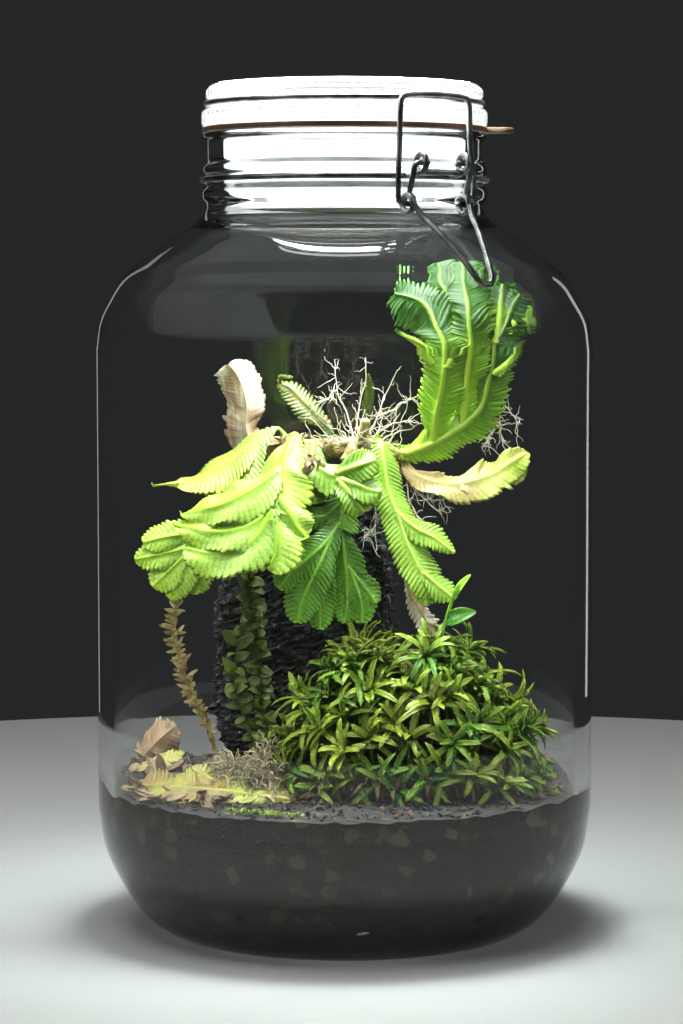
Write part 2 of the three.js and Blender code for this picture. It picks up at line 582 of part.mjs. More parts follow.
function ovalLeaf(base, tip, face, width, cup = 0.15) {
  const along = v3(...tip).sub(v3(...base));
  const length = along.length();
  along.normalize();
  const side = along.clone().cross(v3(...face).normalize()).normalize();
  const normal = side.clone().cross(along).normalize();
  const outline = [[0, 0.12], [0.5, 0.5], [1, 0.1]];
  return plate(outline.map(([t, w]) => {
    const middle = v3(...base).addScaledVector(along, t * length);
    const edge = (across) => middle.clone().addScaledVector(side, across * w * width)
      .addScaledVector(normal, cup * w * width);
    return [edge(-1), middle.clone().addScaledVector(normal, BLADE_THICK / 2), edge(1),
      middle.clone().addScaledVector(normal, -BLADE_THICK)];
  }));
}

const HOLE_DEPTH = 5;
const CLIMBER_ROUTE = [[-40, -3, 148], [-39, -4, 138], [-37, -5, 126], [-36, -5, 112], [-35, -6, 100],
  [-33, -7, 85], [-32, -7, 70], [-32, -7, SOIL_Z - HOLE_DEPTH + GAP]];
const CLIMBER_R = 0.9;

function climberSolid() {
  const pieces = [solidOf(tube(CLIMBER_ROUTE, CLIMBER_R, 12, 5))];
  const route = new THREE.CatmullRomCurve3(CLIMBER_ROUTE.map((p) => v3(...p)), false, 'centripetal');
  const leafPairs = 7;
  for (let i = 0; i < leafPairs * 2; i += 1) {
    const side = i % 2 === 0 ? -1 : 1;
    const at = route.getPoint(0.02 + (0.66 * i) / (leafPairs * 2));
    const base = [at.x, at.y - 0.3, at.z];
    const tip = [at.x + side * 7, at.y - 3.2, at.z + 1.4];
    pieces.push(solidOf(ovalLeaf(base, tip, [side * 0.35, -1, 0.5], 6.4)));
  }
  pieces.push(solidOf(ovalLeaf([-40, -3, 146], [-41, -6, 155], TO_VIEWER, 5)));
  return largestBody(fuse(pieces));
}

const DRIED_RIB = [[-67, -22, 143, 0.8], [-70, -22, 135, 3.6], [-70, -22, 126, 4.6],
  [-68, -22, 116, 4.6], [-65, -21, 106, 4.6], [-61, -20, 96, 4.4], [-57, -19, 88, 3],
  [-54, -18, 78, 1], [-52, -18, 68, 1], [-52, -18, SOIL_Z - HOLE_DEPTH + GAP, 1]];

function driedFernSolid() {
  const shape = { cut: 0.28, lean: -0.5, arch: 0.1, pitch: 4.6 };
  return solidOf(frondBlade(DRIED_RIB, [-0.4, -1, 0.1], shape));
}

// Cushion of strap-leaved rosettes

function strapLeaf(base, direction, up, length, width) {
  const out = v3(...direction).normalize();
  const lift = v3(...up).normalize();
  const side = out.clone().cross(lift).normalize();
  const bend = [[-0.12, -0.12, 0.75], [0.52, 0.27, 1], [1.02, 0.08, 0]];
  const rings = bend.map(([along, rise, w]) => {
    const middle = v3(...base).addScaledVector(out, along * length).addScaledVector(lift, rise * length);
    if (w === 0) return [middle];
    return [
      middle.clone().addScaledVector(side, -w * width / 2).addScaledVector(lift, 0.3),
      middle.clone().addScaledVector(side, w * width / 2).addScaledVector(lift, 0.3),
      middle.clone().addScaledVector(lift, -0.55),
    ];
  });
  const faces = [[0, 2, 1]];
  for (let k = 0; k < 3; k += 1) {
    const next = (k + 1) % 3;
    faces.push([k, next, 3 + next], [k, 3 + next, 3 + k], [3 + k, 3 + next, 6]);
  }
  const geometry = new THREE.BufferGeometry().setFromPoints(rings.flat());
  geometry.setIndex(faces.flat());
  return geometry;
}

function bushHeight(x, y) {
  const dx = (x - BUSH.x) / BUSH.halfX;
  const dy = (y - BUSH.y) / BUSH.halfY;
  const dome = Math.sqrt(Math.max(0, 1 - dx * dx - dy * dy));
  const lumps = 1 + 0.1 * Math.sin(x * 0.16 + 1) + 0.07 * Math.cos(y * 0.2 + x * 0.07);
  return BUSH.height * dome ** 0.8 * lumps;
}

// The low brown mat that the stems rise from.
function bushMat() {
  const rings = [[0, 0], [1, 0], [0.96, 0.5], [0.74, 0.86], [0.36, 1], [0, 1.04]];
  const geometry = lathe(rings, 12);
  const position = geometry.attributes.position;
  for (let i = 0; i < position.count; i += 1) {
    const x = BUSH.x + position.getX(i) * BUSH.halfX;
    const y = BUSH.y + position.getY(i) * BUSH.halfY;
    const lumps = 1 + 0.14 * Math.sin(x * 0.16 + 1) + 0.1 * Math.cos(y * 0.2 + x * 0.07);
    position.setXYZ(i, x, y, SOIL_Z + GAP + position.getZ(i) * BUSH.matHeight * lumps);
  }
  return geometry;
}

// A stem with its crown of strap leaves as one closed surface. Every second leaf stands more
// upright. Each leaf runs from its two notches over a ridge, thickest in mid-blade, to a point.
function rosette(foot, tip, axis, leafCount, startAngle, leafLength) {
  const points = [tip.clone().addScaledVector(axis, 1.6)];
  const faces = [];
  const outward = (angle) => {
    const flat = v3(Math.cos(angle), Math.sin(angle), 0);
    return flat.addScaledVector(axis, -flat.dot(axis)).normalize();
  };
  for (let k = 0; k < leafCount; k += 1) {
    const angle = startAngle + (k / leafCount) * 2 * Math.PI;
    const out = outward(angle);
    const side = out.clone().cross(axis);
    const tilt = k % 2 === 0 ? 1 : 0.4;
    const direction = out.clone().multiplyScalar(tilt);
    direction.addScaledVector(axis, 1.1 - 0.8 * tilt).normalize();
    const along = (run, rise) => tip.clone().addScaledVector(direction, run * leafLength)
      .addScaledVector(axis, rise * leafLength);
    const notchSide = outward(angle - Math.PI / leafCount);
    const middle = along(0.55, 0.22);
    const beside = (point, way, by) => point.clone().addScaledVector(way, by);
    points.push(beside(tip, notchSide, 1.9), beside(foot, notchSide, 1.4), beside(middle, side, -1.5),
      beside(middle, side, 1.5), beside(middle, axis, 0.55), beside(middle, axis, -0.55), along(1.05, 0.04));
    const [n, low, left, right, ridge, keel, end] = [0, 1, 2, 3, 4, 5, 6].map((j) => 1 + 7 * k + j);
    const next = 1 + 7 * ((k + 1) % leafCount);
    faces.push([0, n, ridge], [0, ridge, next], [n, left, ridge], [ridge, right, next]);
    faces.push([left, end, ridge], [ridge, end, right], [n, next, keel], [n, keel, left]);
    faces.push([keel, next, right], [left, keel, end], [keel, right, end]);
    faces.push([n, low, next], [low, next + 1, next]);
    if (k > 1) faces.push([2, low, low - 7]);
  }
  const geometry = new THREE.BufferGeometry().setFromPoints(points);
  geometry.setIndex(faces.flat());
  return geometry;
}

function bushSolid() {
  const random = randomFrom(41);
  const pieces = [bushMat()];
  const golden = Math.PI * (3 - Math.sqrt(5));
  for (let i = 0; i < BUSH.stems; i += 1) {
    const spread = Math.sqrt((i + 0.6) / BUSH.stems) * 0.97;
    const turn = i * golden + 0.4;
    const [dx, dy] = [Math.cos(turn) * spread * BUSH.halfX, Math.sin(turn) * spread * BUSH.halfY];
    const [x, y] = [BUSH.x + dx, BUSH.y + dy];
    const foot = v3(BUSH.x + 0.8 * dx, BUSH.y + 0.8 * dy, SOIL_Z + 5);
    const tip = v3(x, y, SOIL_Z + Math.max(14, bushHeight(x, y) - 3));
    const axis = v3(dx, dy * 1.6, 34).normalize();
    const room = BODY_R - WALL - 3 - Math.hypot(x, y);
    const leafLength = Math.min(14 + 4 * random(), room);
    pieces.push(rosette(foot, tip, axis, 6, random() * 2 * Math.PI, leafLength));
  }
  return largestBody(wasm.Manifold.union(pieces.map(solidOf)));
}

// Fallen fronds and litter on the soil

// A leaf and a young shoot that rise out of the cushion on one stem.
const SHOOT_STEM = [[37, -36, 104], [38, -37, 120], [41, -38, 133], [44, -38, 143]];
const SHOOT_STEM_R = 0.8;

function sideShootSolid() {
  const stem = tube(SHOOT_STEM, SHOOT_STEM_R, 6, 5);
  const leaf = ovalLeaf([40.5, -38, 132], [53, -41, 137], [0, -1, 0.6], 7);
  const shoot = ovalLeaf([44, -38, 142], [51, -38, 152], [-0.4, -1, 0.5], 3);
  return largestBody(fuse([stem, leaf, shoot].map(solidOf)));
}

const MOSS = { x: -36, y: -33, halfX: 12, halfY: 11, height: 15 };

function driedMossSolid(ground, bush) {
  const random = randomFrom(12);
  const mound = new THREE.SphereGeometry(1, 9, 6);
  mound.scale(MOSS.halfX, MOSS.halfY, MOSS.height).translate(MOSS.x, MOSS.y, SOIL_Z);
  const pieces = [solidOf(mound)];
  for (let i = 0; i < 12; i += 1) {
    const turn = random() * 2 * Math.PI;
    const spread = 0.25 + 0.5 * random();
    const out = [Math.cos(turn), Math.sin(turn), 0.7];
    const base = [MOSS.x + out[0] * spread * MOSS.halfX, MOSS.y + out[1] * spread * MOSS.halfY,
      SOIL_Z + MOSS.height * Math.sqrt(1 - spread * spread) - 1];
    pieces.push(solidOf(strapLeaf(base, out, [0, 0, 1], 9 + 4 * random(), 1.3)));
  }
  return largestBody(clearOf(fuse(pieces).subtract(ground), bush));
}

const FALLEN = {
  fallen_frond_front: {
    colour: 'fallen', face: [0, -0.35, 1], options: { arch: 0.16 },
    ribs: [
      [[-21, -51, 61.6, 2.5], [-34, -52, 63.4, 5.5], [-47, -50, 64.9, 8.5], [-61, -45, 65.4, 9.5],
       [-75, -37, 64.9, 9], [-88, -27, 63.4, 3.5]],
      [[-45, -48, 64.9, 3], [-54, -40, 68.4, 5.5], [-62, -33, 71.4, 2]],
      [[-36, -51.6, 64, 3], [-28, -48, 65, 5], [-21, -45, 63.8, 2.5]],
    ],
  },
  fallen_frond_back: {
    colour: 'fallen', face: [0, -0.4, 1], options: { arch: 0.1 },
    ribs: [
      [[-90, -8, 65.5, 2], [-83, -6, 68.5, 5], [-75, -4, 71, 5], [-68, -2, 73, 2]],
    ],
  },
  fallen_husk: {
    colour: 'husk', face: [0.2, -0.8, 0.8], options: { cut: 0.8, arch: 0.4 },
    ribs: [
      [[-90, 14, 63, 2], [-86, 13, 70, 6], [-80, 12, 76, 6.5], [-73, 12, 82, 2]],
    ],
  },
};

function litterSolid(ground, { face, ribs, options }) {
  const blades = ribs.map((rib) => solidOf(frondBlade(rib, face, options)));
  return largestBody(fuse(blades).subtract(ground));
}

// Group

const plants = new THREE.Group();
plants.rotation.z = VIEW_TURN;
const terrarium = new THREE.Group();
terrarium.add(plants);

function place(parent, name, solid, colour, { roughness = 0.5, metalness = 0 } = {}) {
  const material = new THREE.MeshStandardMaterial({ color: COLOURS[colour], roughness, metalness });
  if (colour === 'glass') {
    material.transparent = true;
    material.opacity = 0.3;
  }
  const mesh = new THREE.Mesh(geometryOf(solid), material);
  mesh.name = name;
  parent.add(mesh);
}

const wireLook = { roughness: 0.35, metalness: 1 };
place(terrarium, 'jar', solidOf(jarGeometry()), 'glass', { roughness: 0.05 });
place(terrarium, 'lid', solidOf(lidGeometry()), 'glass', { roughness: 0.05 });
place(terrarium, 'gasket', gasketSolid(), 'rubber', { roughness: 0.7 });
place(terrarium, 'lid_ring', lidRingSolid(), 'wire', wireLook);
place(terrarium, 'neck_ring', neckRingSolid(), 'wire', wireLook);
place(terrarium, 'latch_lever', leverSolid(), 'wire', wireLook);
place(terrarium, 'latch_bail', bailSolid(), 'wire', wireLook);

const rhizomeSeat = rhizomeSolid(GAP);
const seats = { roots_right: frondSolid(FRONDS.frond_right_fan, rhizomeSeat) };
const ground = solidOf(soilGeometry());
const holes = [CLIMBER_ROUTE.at(-1), DRIED_RIB.at(-1)].map(([x, y]) => {
  const drill = new THREE.CylinderGeometry(2.2, 2.2, 2 * HOLE_DEPTH, 10).rotateX(Math.PI / 2);
  return solidOf(drill.translate(x, y, SOIL_Z));
});
place(plants, 'soil', fuse([ground]).subtract(fuse(holes)), 'soil', { roughness: 0.95 });
place(plants, 'fibre_post', solidOf(postGeometry()).subtract(rhizomeSeat), 'post', { roughness: 0.9 });
place(plants, 'rhizome', rhizomeSolid(), 'rhizome', { roughness: 0.8 });
for (const [name, frond] of Object.entries(FRONDS)) {
  place(plants, name, frondSolid(frond, rhizomeSeat), frond.colour, { roughness: 0.35 });
}
for (const [name, paths] of Object.entries(ROOTS)) {
  const roots = rootSolid(paths, rhizomeSeat);
  const seated = seats[name] ? largestBody(clearOf(roots, seats[name])) : roots;
  place(plants, name, seated, 'root', { roughness: 0.8 });
}
place(plants, 'climber', climberSolid(), 'climber');
place(plants, 'dried_fern', driedFernSolid(), 'deadFrond');
const shootSeat = solidOf(tube(SHOOT_STEM, SHOOT_STEM_R + GAP, 6, 5));
const bush = largestBody(bushSolid().subtract(shootSeat));
place(plants, 'bush', bush, 'bush');
place(plants, 'side_shoot', sideShootSolid(), 'bush');
const groundSeat = ground.translate(0, 0, GAP);
place(plants, 'dried_moss', driedMossSolid(groundSeat, bush), 'moss', { roughness: 0.9 });
for (const [name, litter] of Object.entries(FALLEN)) {
  place(plants, name, litterSolid(groundSeat, litter), litter.colour, { roughness: 0.4 });
}

export default terrarium;
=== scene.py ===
# %% [markdown]
# A planted clip-top jar
#
# The object is a glass jar of about eight litres with a wire latch. Inside it a fern with crested
# fronds grows on a post of black fibre, over dark soil with a cushion of strap-leaved rosettes.
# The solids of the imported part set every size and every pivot. This lesson dresses them: each cell
# makes one piece or one finish.

# %% Load the fixed frame
import math

import bpy
import numpy as np
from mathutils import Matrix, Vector


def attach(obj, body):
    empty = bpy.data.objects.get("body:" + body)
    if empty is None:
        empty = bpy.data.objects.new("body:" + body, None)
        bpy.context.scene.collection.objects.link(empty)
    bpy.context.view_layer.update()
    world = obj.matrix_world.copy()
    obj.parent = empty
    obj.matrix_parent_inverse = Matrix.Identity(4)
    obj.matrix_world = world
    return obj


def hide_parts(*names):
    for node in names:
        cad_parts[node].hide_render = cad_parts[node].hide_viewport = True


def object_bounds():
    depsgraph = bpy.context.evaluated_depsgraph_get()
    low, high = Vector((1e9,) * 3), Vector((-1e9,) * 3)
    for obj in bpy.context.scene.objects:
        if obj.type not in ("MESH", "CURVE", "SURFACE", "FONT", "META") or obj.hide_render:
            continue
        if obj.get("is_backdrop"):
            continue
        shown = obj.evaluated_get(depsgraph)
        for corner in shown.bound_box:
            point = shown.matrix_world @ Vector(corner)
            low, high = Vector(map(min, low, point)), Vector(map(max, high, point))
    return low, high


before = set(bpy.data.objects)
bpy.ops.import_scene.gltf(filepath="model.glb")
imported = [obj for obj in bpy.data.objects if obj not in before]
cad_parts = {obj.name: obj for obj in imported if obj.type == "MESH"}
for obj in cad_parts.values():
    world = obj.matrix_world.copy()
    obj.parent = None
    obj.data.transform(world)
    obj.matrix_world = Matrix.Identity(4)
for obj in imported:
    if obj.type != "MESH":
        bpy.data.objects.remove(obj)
cad_low, cad_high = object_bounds()
print("solids:", len(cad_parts), "box", [round(v, 4) for v in (*cad_low, *cad_high)])

# %% [markdown]
# Sizes and the two frames of reference
#
# Sizes are thought of in millimetres, as on a drawing, and turned to metres where a mesh is made.
# The jar, its lid and its wires are drawn in the part's own frame. The plants are drawn as the
# photograph shows them, with x to the right, y away from the viewer and z up, and then turned by 35
# degrees, which is the angle between the photograph's view and the latch.

# %% Units and the turn of the view
MM = 0.001
VIEW_TURN = math.radians(-35)
COS_VIEW, SIN_VIEW = math.cos(VIEW_TURN), math.sin(VIEW_TURN)


def metres(points):
    """Millimetres in the part's own frame to metres."""
    return np.asarray(points, float) * MM


def from_view(points):
    """Millimetres in the photograph's frame to metres in the part's frame."""
    points = np.asarray(points, float)
    x, y = points[..., 0], points[..., 1]
    return np.stack([COS_VIEW * x - SIN_VIEW * y, SIN_VIEW * x + COS_VIEW * y, points[..., 2]], axis=-1) * MM


def to_view(x, y):
    """The part's x and y in the photograph's frame, for heights that are laid out in the view."""
    return COS_VIEW * x + SIN_VIEW * y, -SIN_VIEW * x + COS_VIEW * y


print("one step right in the view is", from_view([1, 0, 0]).round(5))

# %% [markdown]
# Meshes from arrays
#
# Leaves, threads and crumbs come in hundreds, so their points are worked out with arrays and
# gathered in a bundle before one mesh is made of them. Each point also carries three masks in a
# colour attribute. A leaf uses them for its rib, its age and the groove between leaflets, and the
# shaders read them, so that colour follows the form exactly. The groove mask paints shade into the
# colour.

# %% A bundle of points, faces and masks
PLAIN = (0.0, 0.5, 0.0)


def grid_faces(rows, cols):
    """Quads over a grid of points whose last column joins the first."""
    i, j = np.meshgrid(np.arange(rows - 1), np.arange(cols), indexing="ij")
    a, b = i * cols + j, i * cols + (j + 1) % cols
    return np.stack([a, b, b + cols, a + cols], axis=-1).reshape(-1, 4)


def closed_faces(rows, cols):
    """The quads of a row of rings, and one face over each end."""
    return [*grid_faces(rows, cols), np.arange(cols)[::-1], (rows - 1) * cols + np.arange(cols)]


class Bundle:
    """Gathers points, faces and masks of one piece."""

    def __init__(self):
        self.points, self.faces, self.masks, self.count = [], [], [], 0

    def add(self, points, faces, masks=PLAIN):
        points = np.asarray(points, float).reshape(-1, 3)
        self.points.append(points)
        self.masks.append(np.broadcast_to(np.asarray(masks, float).reshape(-1, 3), points.shape))
        self.faces.extend((np.asarray(f) + self.count).tolist() for f in faces)
        self.count += len(points)

    def add_rings(self, rings, masks=PLAIN):
        """A closed body from rings of points, laid out in the photograph's frame."""
        self.add(from_view(rings), closed_faces(*rings.shape[:2]), masks)

    def triangles(self):
        return sum(len(f) - 2 for f in self.faces)


def new_object(name, data):
    obj = bpy.data.objects.new(name, data)
    bpy.context.scene.collection.objects.link(obj)
    return obj


def make_piece(name, bundle, material, body, nodes, flat=False, sharp=None):
    """One mesh object that rides on a body and stands for its solids.

    Edges of more than `sharp` degrees stay crisp.
    """
    mesh = bpy.data.meshes.new(name)
    mesh.from_pydata(np.concatenate(bundle.points).tolist(), [], bundle.faces)
    attribute = mesh.color_attributes.new("leaf", "FLOAT_COLOR", "POINT")
    colours = np.insert(np.concatenate(bundle.masks), 3, 1.0, axis=1).astype(np.float32)
    attribute.data.foreach_set("color", colours.ravel())
    mesh.materials.append(material)
    if not flat:
        mesh.shade_smooth()
    if sharp:
        mesh.set_sharp_from_angle(angle=math.radians(sharp))
    obj = new_object(name, mesh)
    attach(obj, body)
    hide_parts(*nodes)
    print(f"{name}: {bundle.triangles()} triangles")


# %% [markdown]
# Lines through points
#
# A rib, a root and a bent wire are all a smooth line through a few known points. The line is a
# Catmull-Rom spline, which passes through its points without overshooting, cut into even steps.

# %% Smooth lines, tubes and round bodies
def unit(vectors):
    return vectors / np.maximum(np.linalg.norm(vectors, axis=-1, keepdims=True), 1e-9)


def line_through(keys, spacing):
    """Points every `spacing` along a smooth line; further columns, such as width, come along."""
    keys = np.asarray(keys, float)
    ends = np.vstack([2 * keys[0] - keys[1], keys, 2 * keys[-1] - keys[-2]])
    t = np.linspace(0, 1, 24, endpoint=False)[:, None]
    rows = []
    for p0, p1, p2, p3 in zip(ends, ends[1:], ends[2:], ends[3:]):
        d = [max(np.linalg.norm(b[:3] - a[:3]) ** 0.5, 1e-4) for a, b in ((p0, p1), (p1, p2), (p2, p3))]
        m1 = d[1] * ((p1 - p0) / d[0] - (p2 - p0) / (d[0] + d[1]) + (p2 - p1) / d[1])
        m2 = d[1] * ((p2 - p1) / d[1] - (p3 - p1) / (d[1] + d[2]) + (p3 - p2) / d[2])
        rows.append((2 * t**3 - 3 * t**2 + 1) * p1 + (t**3 - 2 * t**2 + t) * m1
                    + (3 * t**2 - 2 * t**3) * p2 + (t**3 - t**2) * m2)
    dense = np.vstack([*rows, keys[-1]])
    run = np.concatenate([[0], np.cumsum(np.linalg.norm(np.diff(dense[:, :3], axis=0), axis=1))])
    even = np.linspace(0, run[-1], max(2, round(run[-1] / spacing)) + 1)
    return np.column_stack([np.interp(even, run, column) for column in dense.T])


def add_tube(bundle, line, radius, sides=10, masks=PLAIN, to_metres=metres):
    """A round tube along a line, with closed ends. The section is carried along without twisting."""
    line = np.asarray(line, float)
    along = unit(np.gradient(line, axis=0))
    lead = np.cross(along[0], [0.3, 0.5, 0.81])
    turn = np.linspace(0, 2 * math.pi, sides, endpoint=False)
    rings = []
    for point, direction, r in zip(line, along, np.broadcast_to(np.asarray(radius, float), len(line))):
        lead = unit(lead - direction * (lead @ direction))
        other = np.cross(direction, lead)
        rings.append(point + r * (np.cos(turn)[:, None] * lead + np.sin(turn)[:, None] * other))
    bundle.add(to_metres(rings), closed_faces(len(line), sides), masks)


def add_thread(bundle, keys, spacing, radius, sides, masks=PLAIN):
    """A tube through points that are laid out in the photograph's frame."""
    add_tube(bundle, line_through(keys, spacing), radius, sides, masks, from_view)


def lathe(bundle, profile, segments, ripple=None):
    """A round body from a profile of radius and height that starts and ends close to the axis."""
    profile = np.asarray(profile, float)
    turn = np.linspace(0, 2 * math.pi, segments, endpoint=False)
    radius, height = np.repeat(profile.T[..., None], segments, axis=2)
    if ripple is not None:
        radius = ripple(radius, height, turn)
    points = np.stack([radius * np.cos(turn), radius * np.sin(turn), height], axis=-1)
    bundle.add(metres(points), closed_faces(len(profile), segments))


def closed_ring(bundle, section, segments=128):
    """A lathe of a closed section that stays off the axis."""
    section = np.asarray(section, float)
    turn = np.linspace(0, 2 * math.pi, segments, endpoint=False)[:, None]
    radius, height = section.T
    points = np.stack(np.broadcast_arrays(radius * np.cos(turn), radius * np.sin(turn), height), axis=-1)
    faces = grid_faces(segments + 1, len(section)) % (segments * len(section))
    bundle.add(metres(points), faces[:, ::-1])


print("a 10 mm line in 2 mm steps has", len(line_through([[0, 0, 0], [5, 0, 0], [10, 0, 0]], 2)), "points")

# %% [markdown]
# Shader nodes in a few words
#
# A material is a small graph. These helpers add a node, set or link its inputs by name and build a
# group with named sockets. A group holds a look that several finishes share, and each material
# gives it its own values. Every finish starts from an empty graph and ends in one Principled shader.

# %% Helpers for shader nodes
def rgba(colour):
    return (*colour, 1.0)


def put(tree, kind, inputs=(), **settings):
    """Adds a node. Inputs are given by name or number, as values or as sockets to link."""
    node = tree.nodes.new(kind)
    for key, value in settings.items():
        setattr(node, key, value)
    for key, value in dict(inputs).items():
        socket = node.inputs[key]
        if isinstance(value, bpy.types.NodeSocket):
            tree.links.new(value, socket)
        else:
            socket.default_value = rgba(value) if socket.type == "RGBA" else value
    return node


def mix_colours(tree, factor, first, second, blend="MIX"):
    node = put(tree, "ShaderNodeMix", {0: factor, 6: first, 7: second}, data_type="RGBA", blend_type=blend)
    return node.outputs[2]


def calc(tree, operation, first, second):
    return put(tree, "ShaderNodeMath", {0: first, 1: second}, operation=operation).outputs[0]


def span(tree, value, low, high, to_low=0.0, to_high=1.0):
    sockets = {"Value": value, "From Min": low, "From Max": high, "To Min": to_low, "To Max": to_high}
    return put(tree, "ShaderNodeMapRange", sockets, interpolation_type="SMOOTHSTEP").outputs[0]


def noise(tree, place, scale, detail=2.0):
    return put(tree, "ShaderNodeTexNoise", {"Vector": place, "Scale": scale, "Detail": detail}).outputs[0]


def cells(tree, place, scale):
    """Cells of random size, with the Distance from each middle and a Color for each cell."""
    return put(tree, "ShaderNodeTexVoronoi", {"Vector": place, "Scale": scale}).outputs


def stretch(tree, place, upright):
    """The place with its height scaled, which draws a pattern out along z."""
    return put(tree, "ShaderNodeMapping", {"Vector": place, "Scale": (1.0, 1.0, upright)}).outputs[0]


def split(tree, colour):
    return put(tree, "ShaderNodeSeparateColor", {0: colour}).outputs


def mesh_masks(tree):
    """The three masks that each point of a mesh carries."""
    return split(tree, put(tree, "ShaderNodeAttribute", attribute_name="leaf").outputs["Color"])


def relief(tree, height, strength, depth):
    """The normal over small bumps. Depth is in metres."""
    return put(tree, "ShaderNodeBump", {"Strength": strength, "Distance": depth, "Height": height}).outputs[0]


def start_finish(name):
    """An empty material, its tree, and the place of a point on its object."""
    material = bpy.data.materials.new(name)
    material.use_nodes = True
    tree = material.node_tree
    tree.nodes.clear()
    return material, tree, put(tree, "ShaderNodeTexCoord").outputs["Object"]


def end_finish(tree, colour, roughness, normal=None, **more):
    """Ends a material in one Principled shader. Further inputs are named with _ for each space."""
    sockets = {"Base Color": colour, "Roughness": roughness}
    if normal is not None:
        sockets["Normal"] = normal
    sockets.update({key.replace("_", " "): value for key, value in more.items()})
    shader = put(tree, "ShaderNodeBsdfPrincipled", sockets)
    put(tree, "ShaderNodeOutputMaterial", {0: shader.outputs[0]})


def new_group(name, inputs, outputs):
    """A shader group with named sockets. Inputs are (name, socket type, default value)."""
    group = bpy.data.node_groups.new(name, "ShaderNodeTree")
    for label, kind, default in inputs:
        socket = group.interface.new_socket(label, in_out="INPUT", socket_type=kind)
        socket.default_value = default
    for label, kind in outputs:
        group.interface.new_socket(label, in_out="OUTPUT", socket_type=kind)
    return group, group.nodes.new("NodeGroupInput").outputs, group.nodes.new("NodeGroupOutput").inputs


COLOUR, FLOAT = "NodeSocketColor", "NodeSocketFloat"
print("shader helpers ready")

# %% [markdown]
# Plant tissue
#
# A fern frond is not one green. The rib is pale and almost white, young tips are yellow-green, and
# old fronds have brown blotches. The tissue is also darkened in the grooves between leaflets, which
# is painted shade. The group takes the three masks of the mesh and the frond's own colours, adds
# soft cloudy variation, and gives back a colour, a roughness and a fine relief of veins.

# %% The tissue group
# The groove setting among these inputs is how dark the painted shade in the grooves is.
TISSUE_INPUTS = [
    ("Place", "NodeSocketVector", (0.0, 0.0, 0.0)),
    ("Blade", COLOUR, rgba((0.1, 0.3, 0.03))), ("Young", COLOUR, rgba((0.4, 0.6, 0.08))),
    ("Rib", COLOUR, rgba((0.5, 0.7, 0.3))), ("Blotch", COLOUR, rgba((0.3, 0.2, 0.05))),
    ("Rib Mask", FLOAT, 0.0), ("Age", FLOAT, 0.5), ("Groove", FLOAT, 0.0),
    ("Groove Shade", FLOAT, 0.5), ("Blotch Amount", FLOAT, 0.0), ("Scale", FLOAT, 60.0),
    ("Gloss", FLOAT, 0.3),
]
tissue, given, result = new_group("plant tissue", TISSUE_INPUTS,
                                  [("Colour", COLOUR), ("Roughness", FLOAT), ("Height", FLOAT)])
cloud = noise(tissue, given["Place"], given["Scale"], 4.0)
fine = noise(tissue, given["Place"], 900.0, 3.0)
aged = mix_colours(tissue, given["Age"], given["Young"], given["Blade"])
blotched = mix_colours(tissue, calc(tissue, "MULTIPLY", span(tissue, cloud, 0.42, 0.6),
                                    given["Blotch Amount"]),
                       aged, given["Blotch"])
# Painted shade: the colour is darkened in the grooves between leaflets, then varied a little at random.
shade = calc(tissue, "SUBTRACT", 1.0, calc(tissue, "MULTIPLY", given["Groove"], given["Groove Shade"]))
shade_and_tone = calc(tissue, "MULTIPLY", shade, span(tissue, fine, 0.2, 0.8, 0.82, 1.18))
grey_shade_and_tone = put(tissue, "ShaderNodeCombineColor", {0: shade_and_tone, 1: shade_and_tone, 2: shade_and_tone}).outputs[0]
shaded = mix_colours(tissue, 1.0, blotched, grey_shade_and_tone, "MULTIPLY")
for label, socket in [
    ("Colour", mix_colours(tissue, given["Rib Mask"], shaded, given["Rib"])),
    ("Roughness", calc(tissue, "ADD", given["Gloss"], span(tissue, fine, 0.3, 0.7, 0.0, 0.14))),
    ("Height", calc(tissue, "ADD", fine, calc(tissue, "MULTIPLY", cloud, 0.6))),
]:
    tissue.links.new(socket, result[label])
print("tissue group:", len(tissue.nodes), "nodes")

# %% A leaf finish from the tissue group
def leaf_finish(name, blade, young, rib, blotch=(0.3, 0.2, 0.05), amount=0.0, gloss=0.28, groove_shade=0.45,
                scale=60.0, bump=0.25, soft=0.12, streak=1.0):
    """A leaf material: the tissue group with this leaf's colours in front of one Principled shader."""
    # The groove setting is painted shade: how dark the grooves between leaflets are made.
    material, tree, place = start_finish(name)
    rib_mask, age, groove_shade_mask = mesh_masks(tree)
    leaf = put(tree, "ShaderNodeGroup", {
        "Place": stretch(tree, place, streak), "Blade": blade, "Young": young, "Rib": rib, "Blotch": blotch,
        "Rib Mask": rib_mask, "Age": age, "Groove": groove_shade_mask, "Groove Shade": groove_shade,
        "Blotch Amount": amount, "Scale": scale, "Gloss": gloss}, node_tree=tissue).outputs
    end_finish(tree, leaf["Colour"], leaf["Roughness"], relief(tree, leaf["Height"], bump, 0.0004),
               Subsurface_Weight=soft, Subsurface_Scale=0.002, Subsurface_Radius=(0.6, 1.0, 0.3),
               Specular_IOR_Level=0.6)
    return material


pale_frond = leaf_finish("pale frond", (0.26, 0.44, 0.09), (0.38, 0.55, 0.03), (0.24, 0.44, 0.012),
                         gloss=0.24, groove_shade=0.38)
narrow_frond = leaf_finish("narrow frond", (0.13, 0.3, 0.06), (0.5, 0.5, 0.04), (0.42, 0.56, 0.07),
                           gloss=0.24)
green_frond = leaf_finish("green frond", (0.07, 0.19, 0.01), (0.22, 0.37, 0.025), (0.32, 0.47, 0.06),
                          gloss=0.26)
deep_frond = leaf_finish("deep green frond", (0.035, 0.15, 0.008), (0.15, 0.34, 0.02), (0.2, 0.4, 0.03),
                         gloss=0.26)
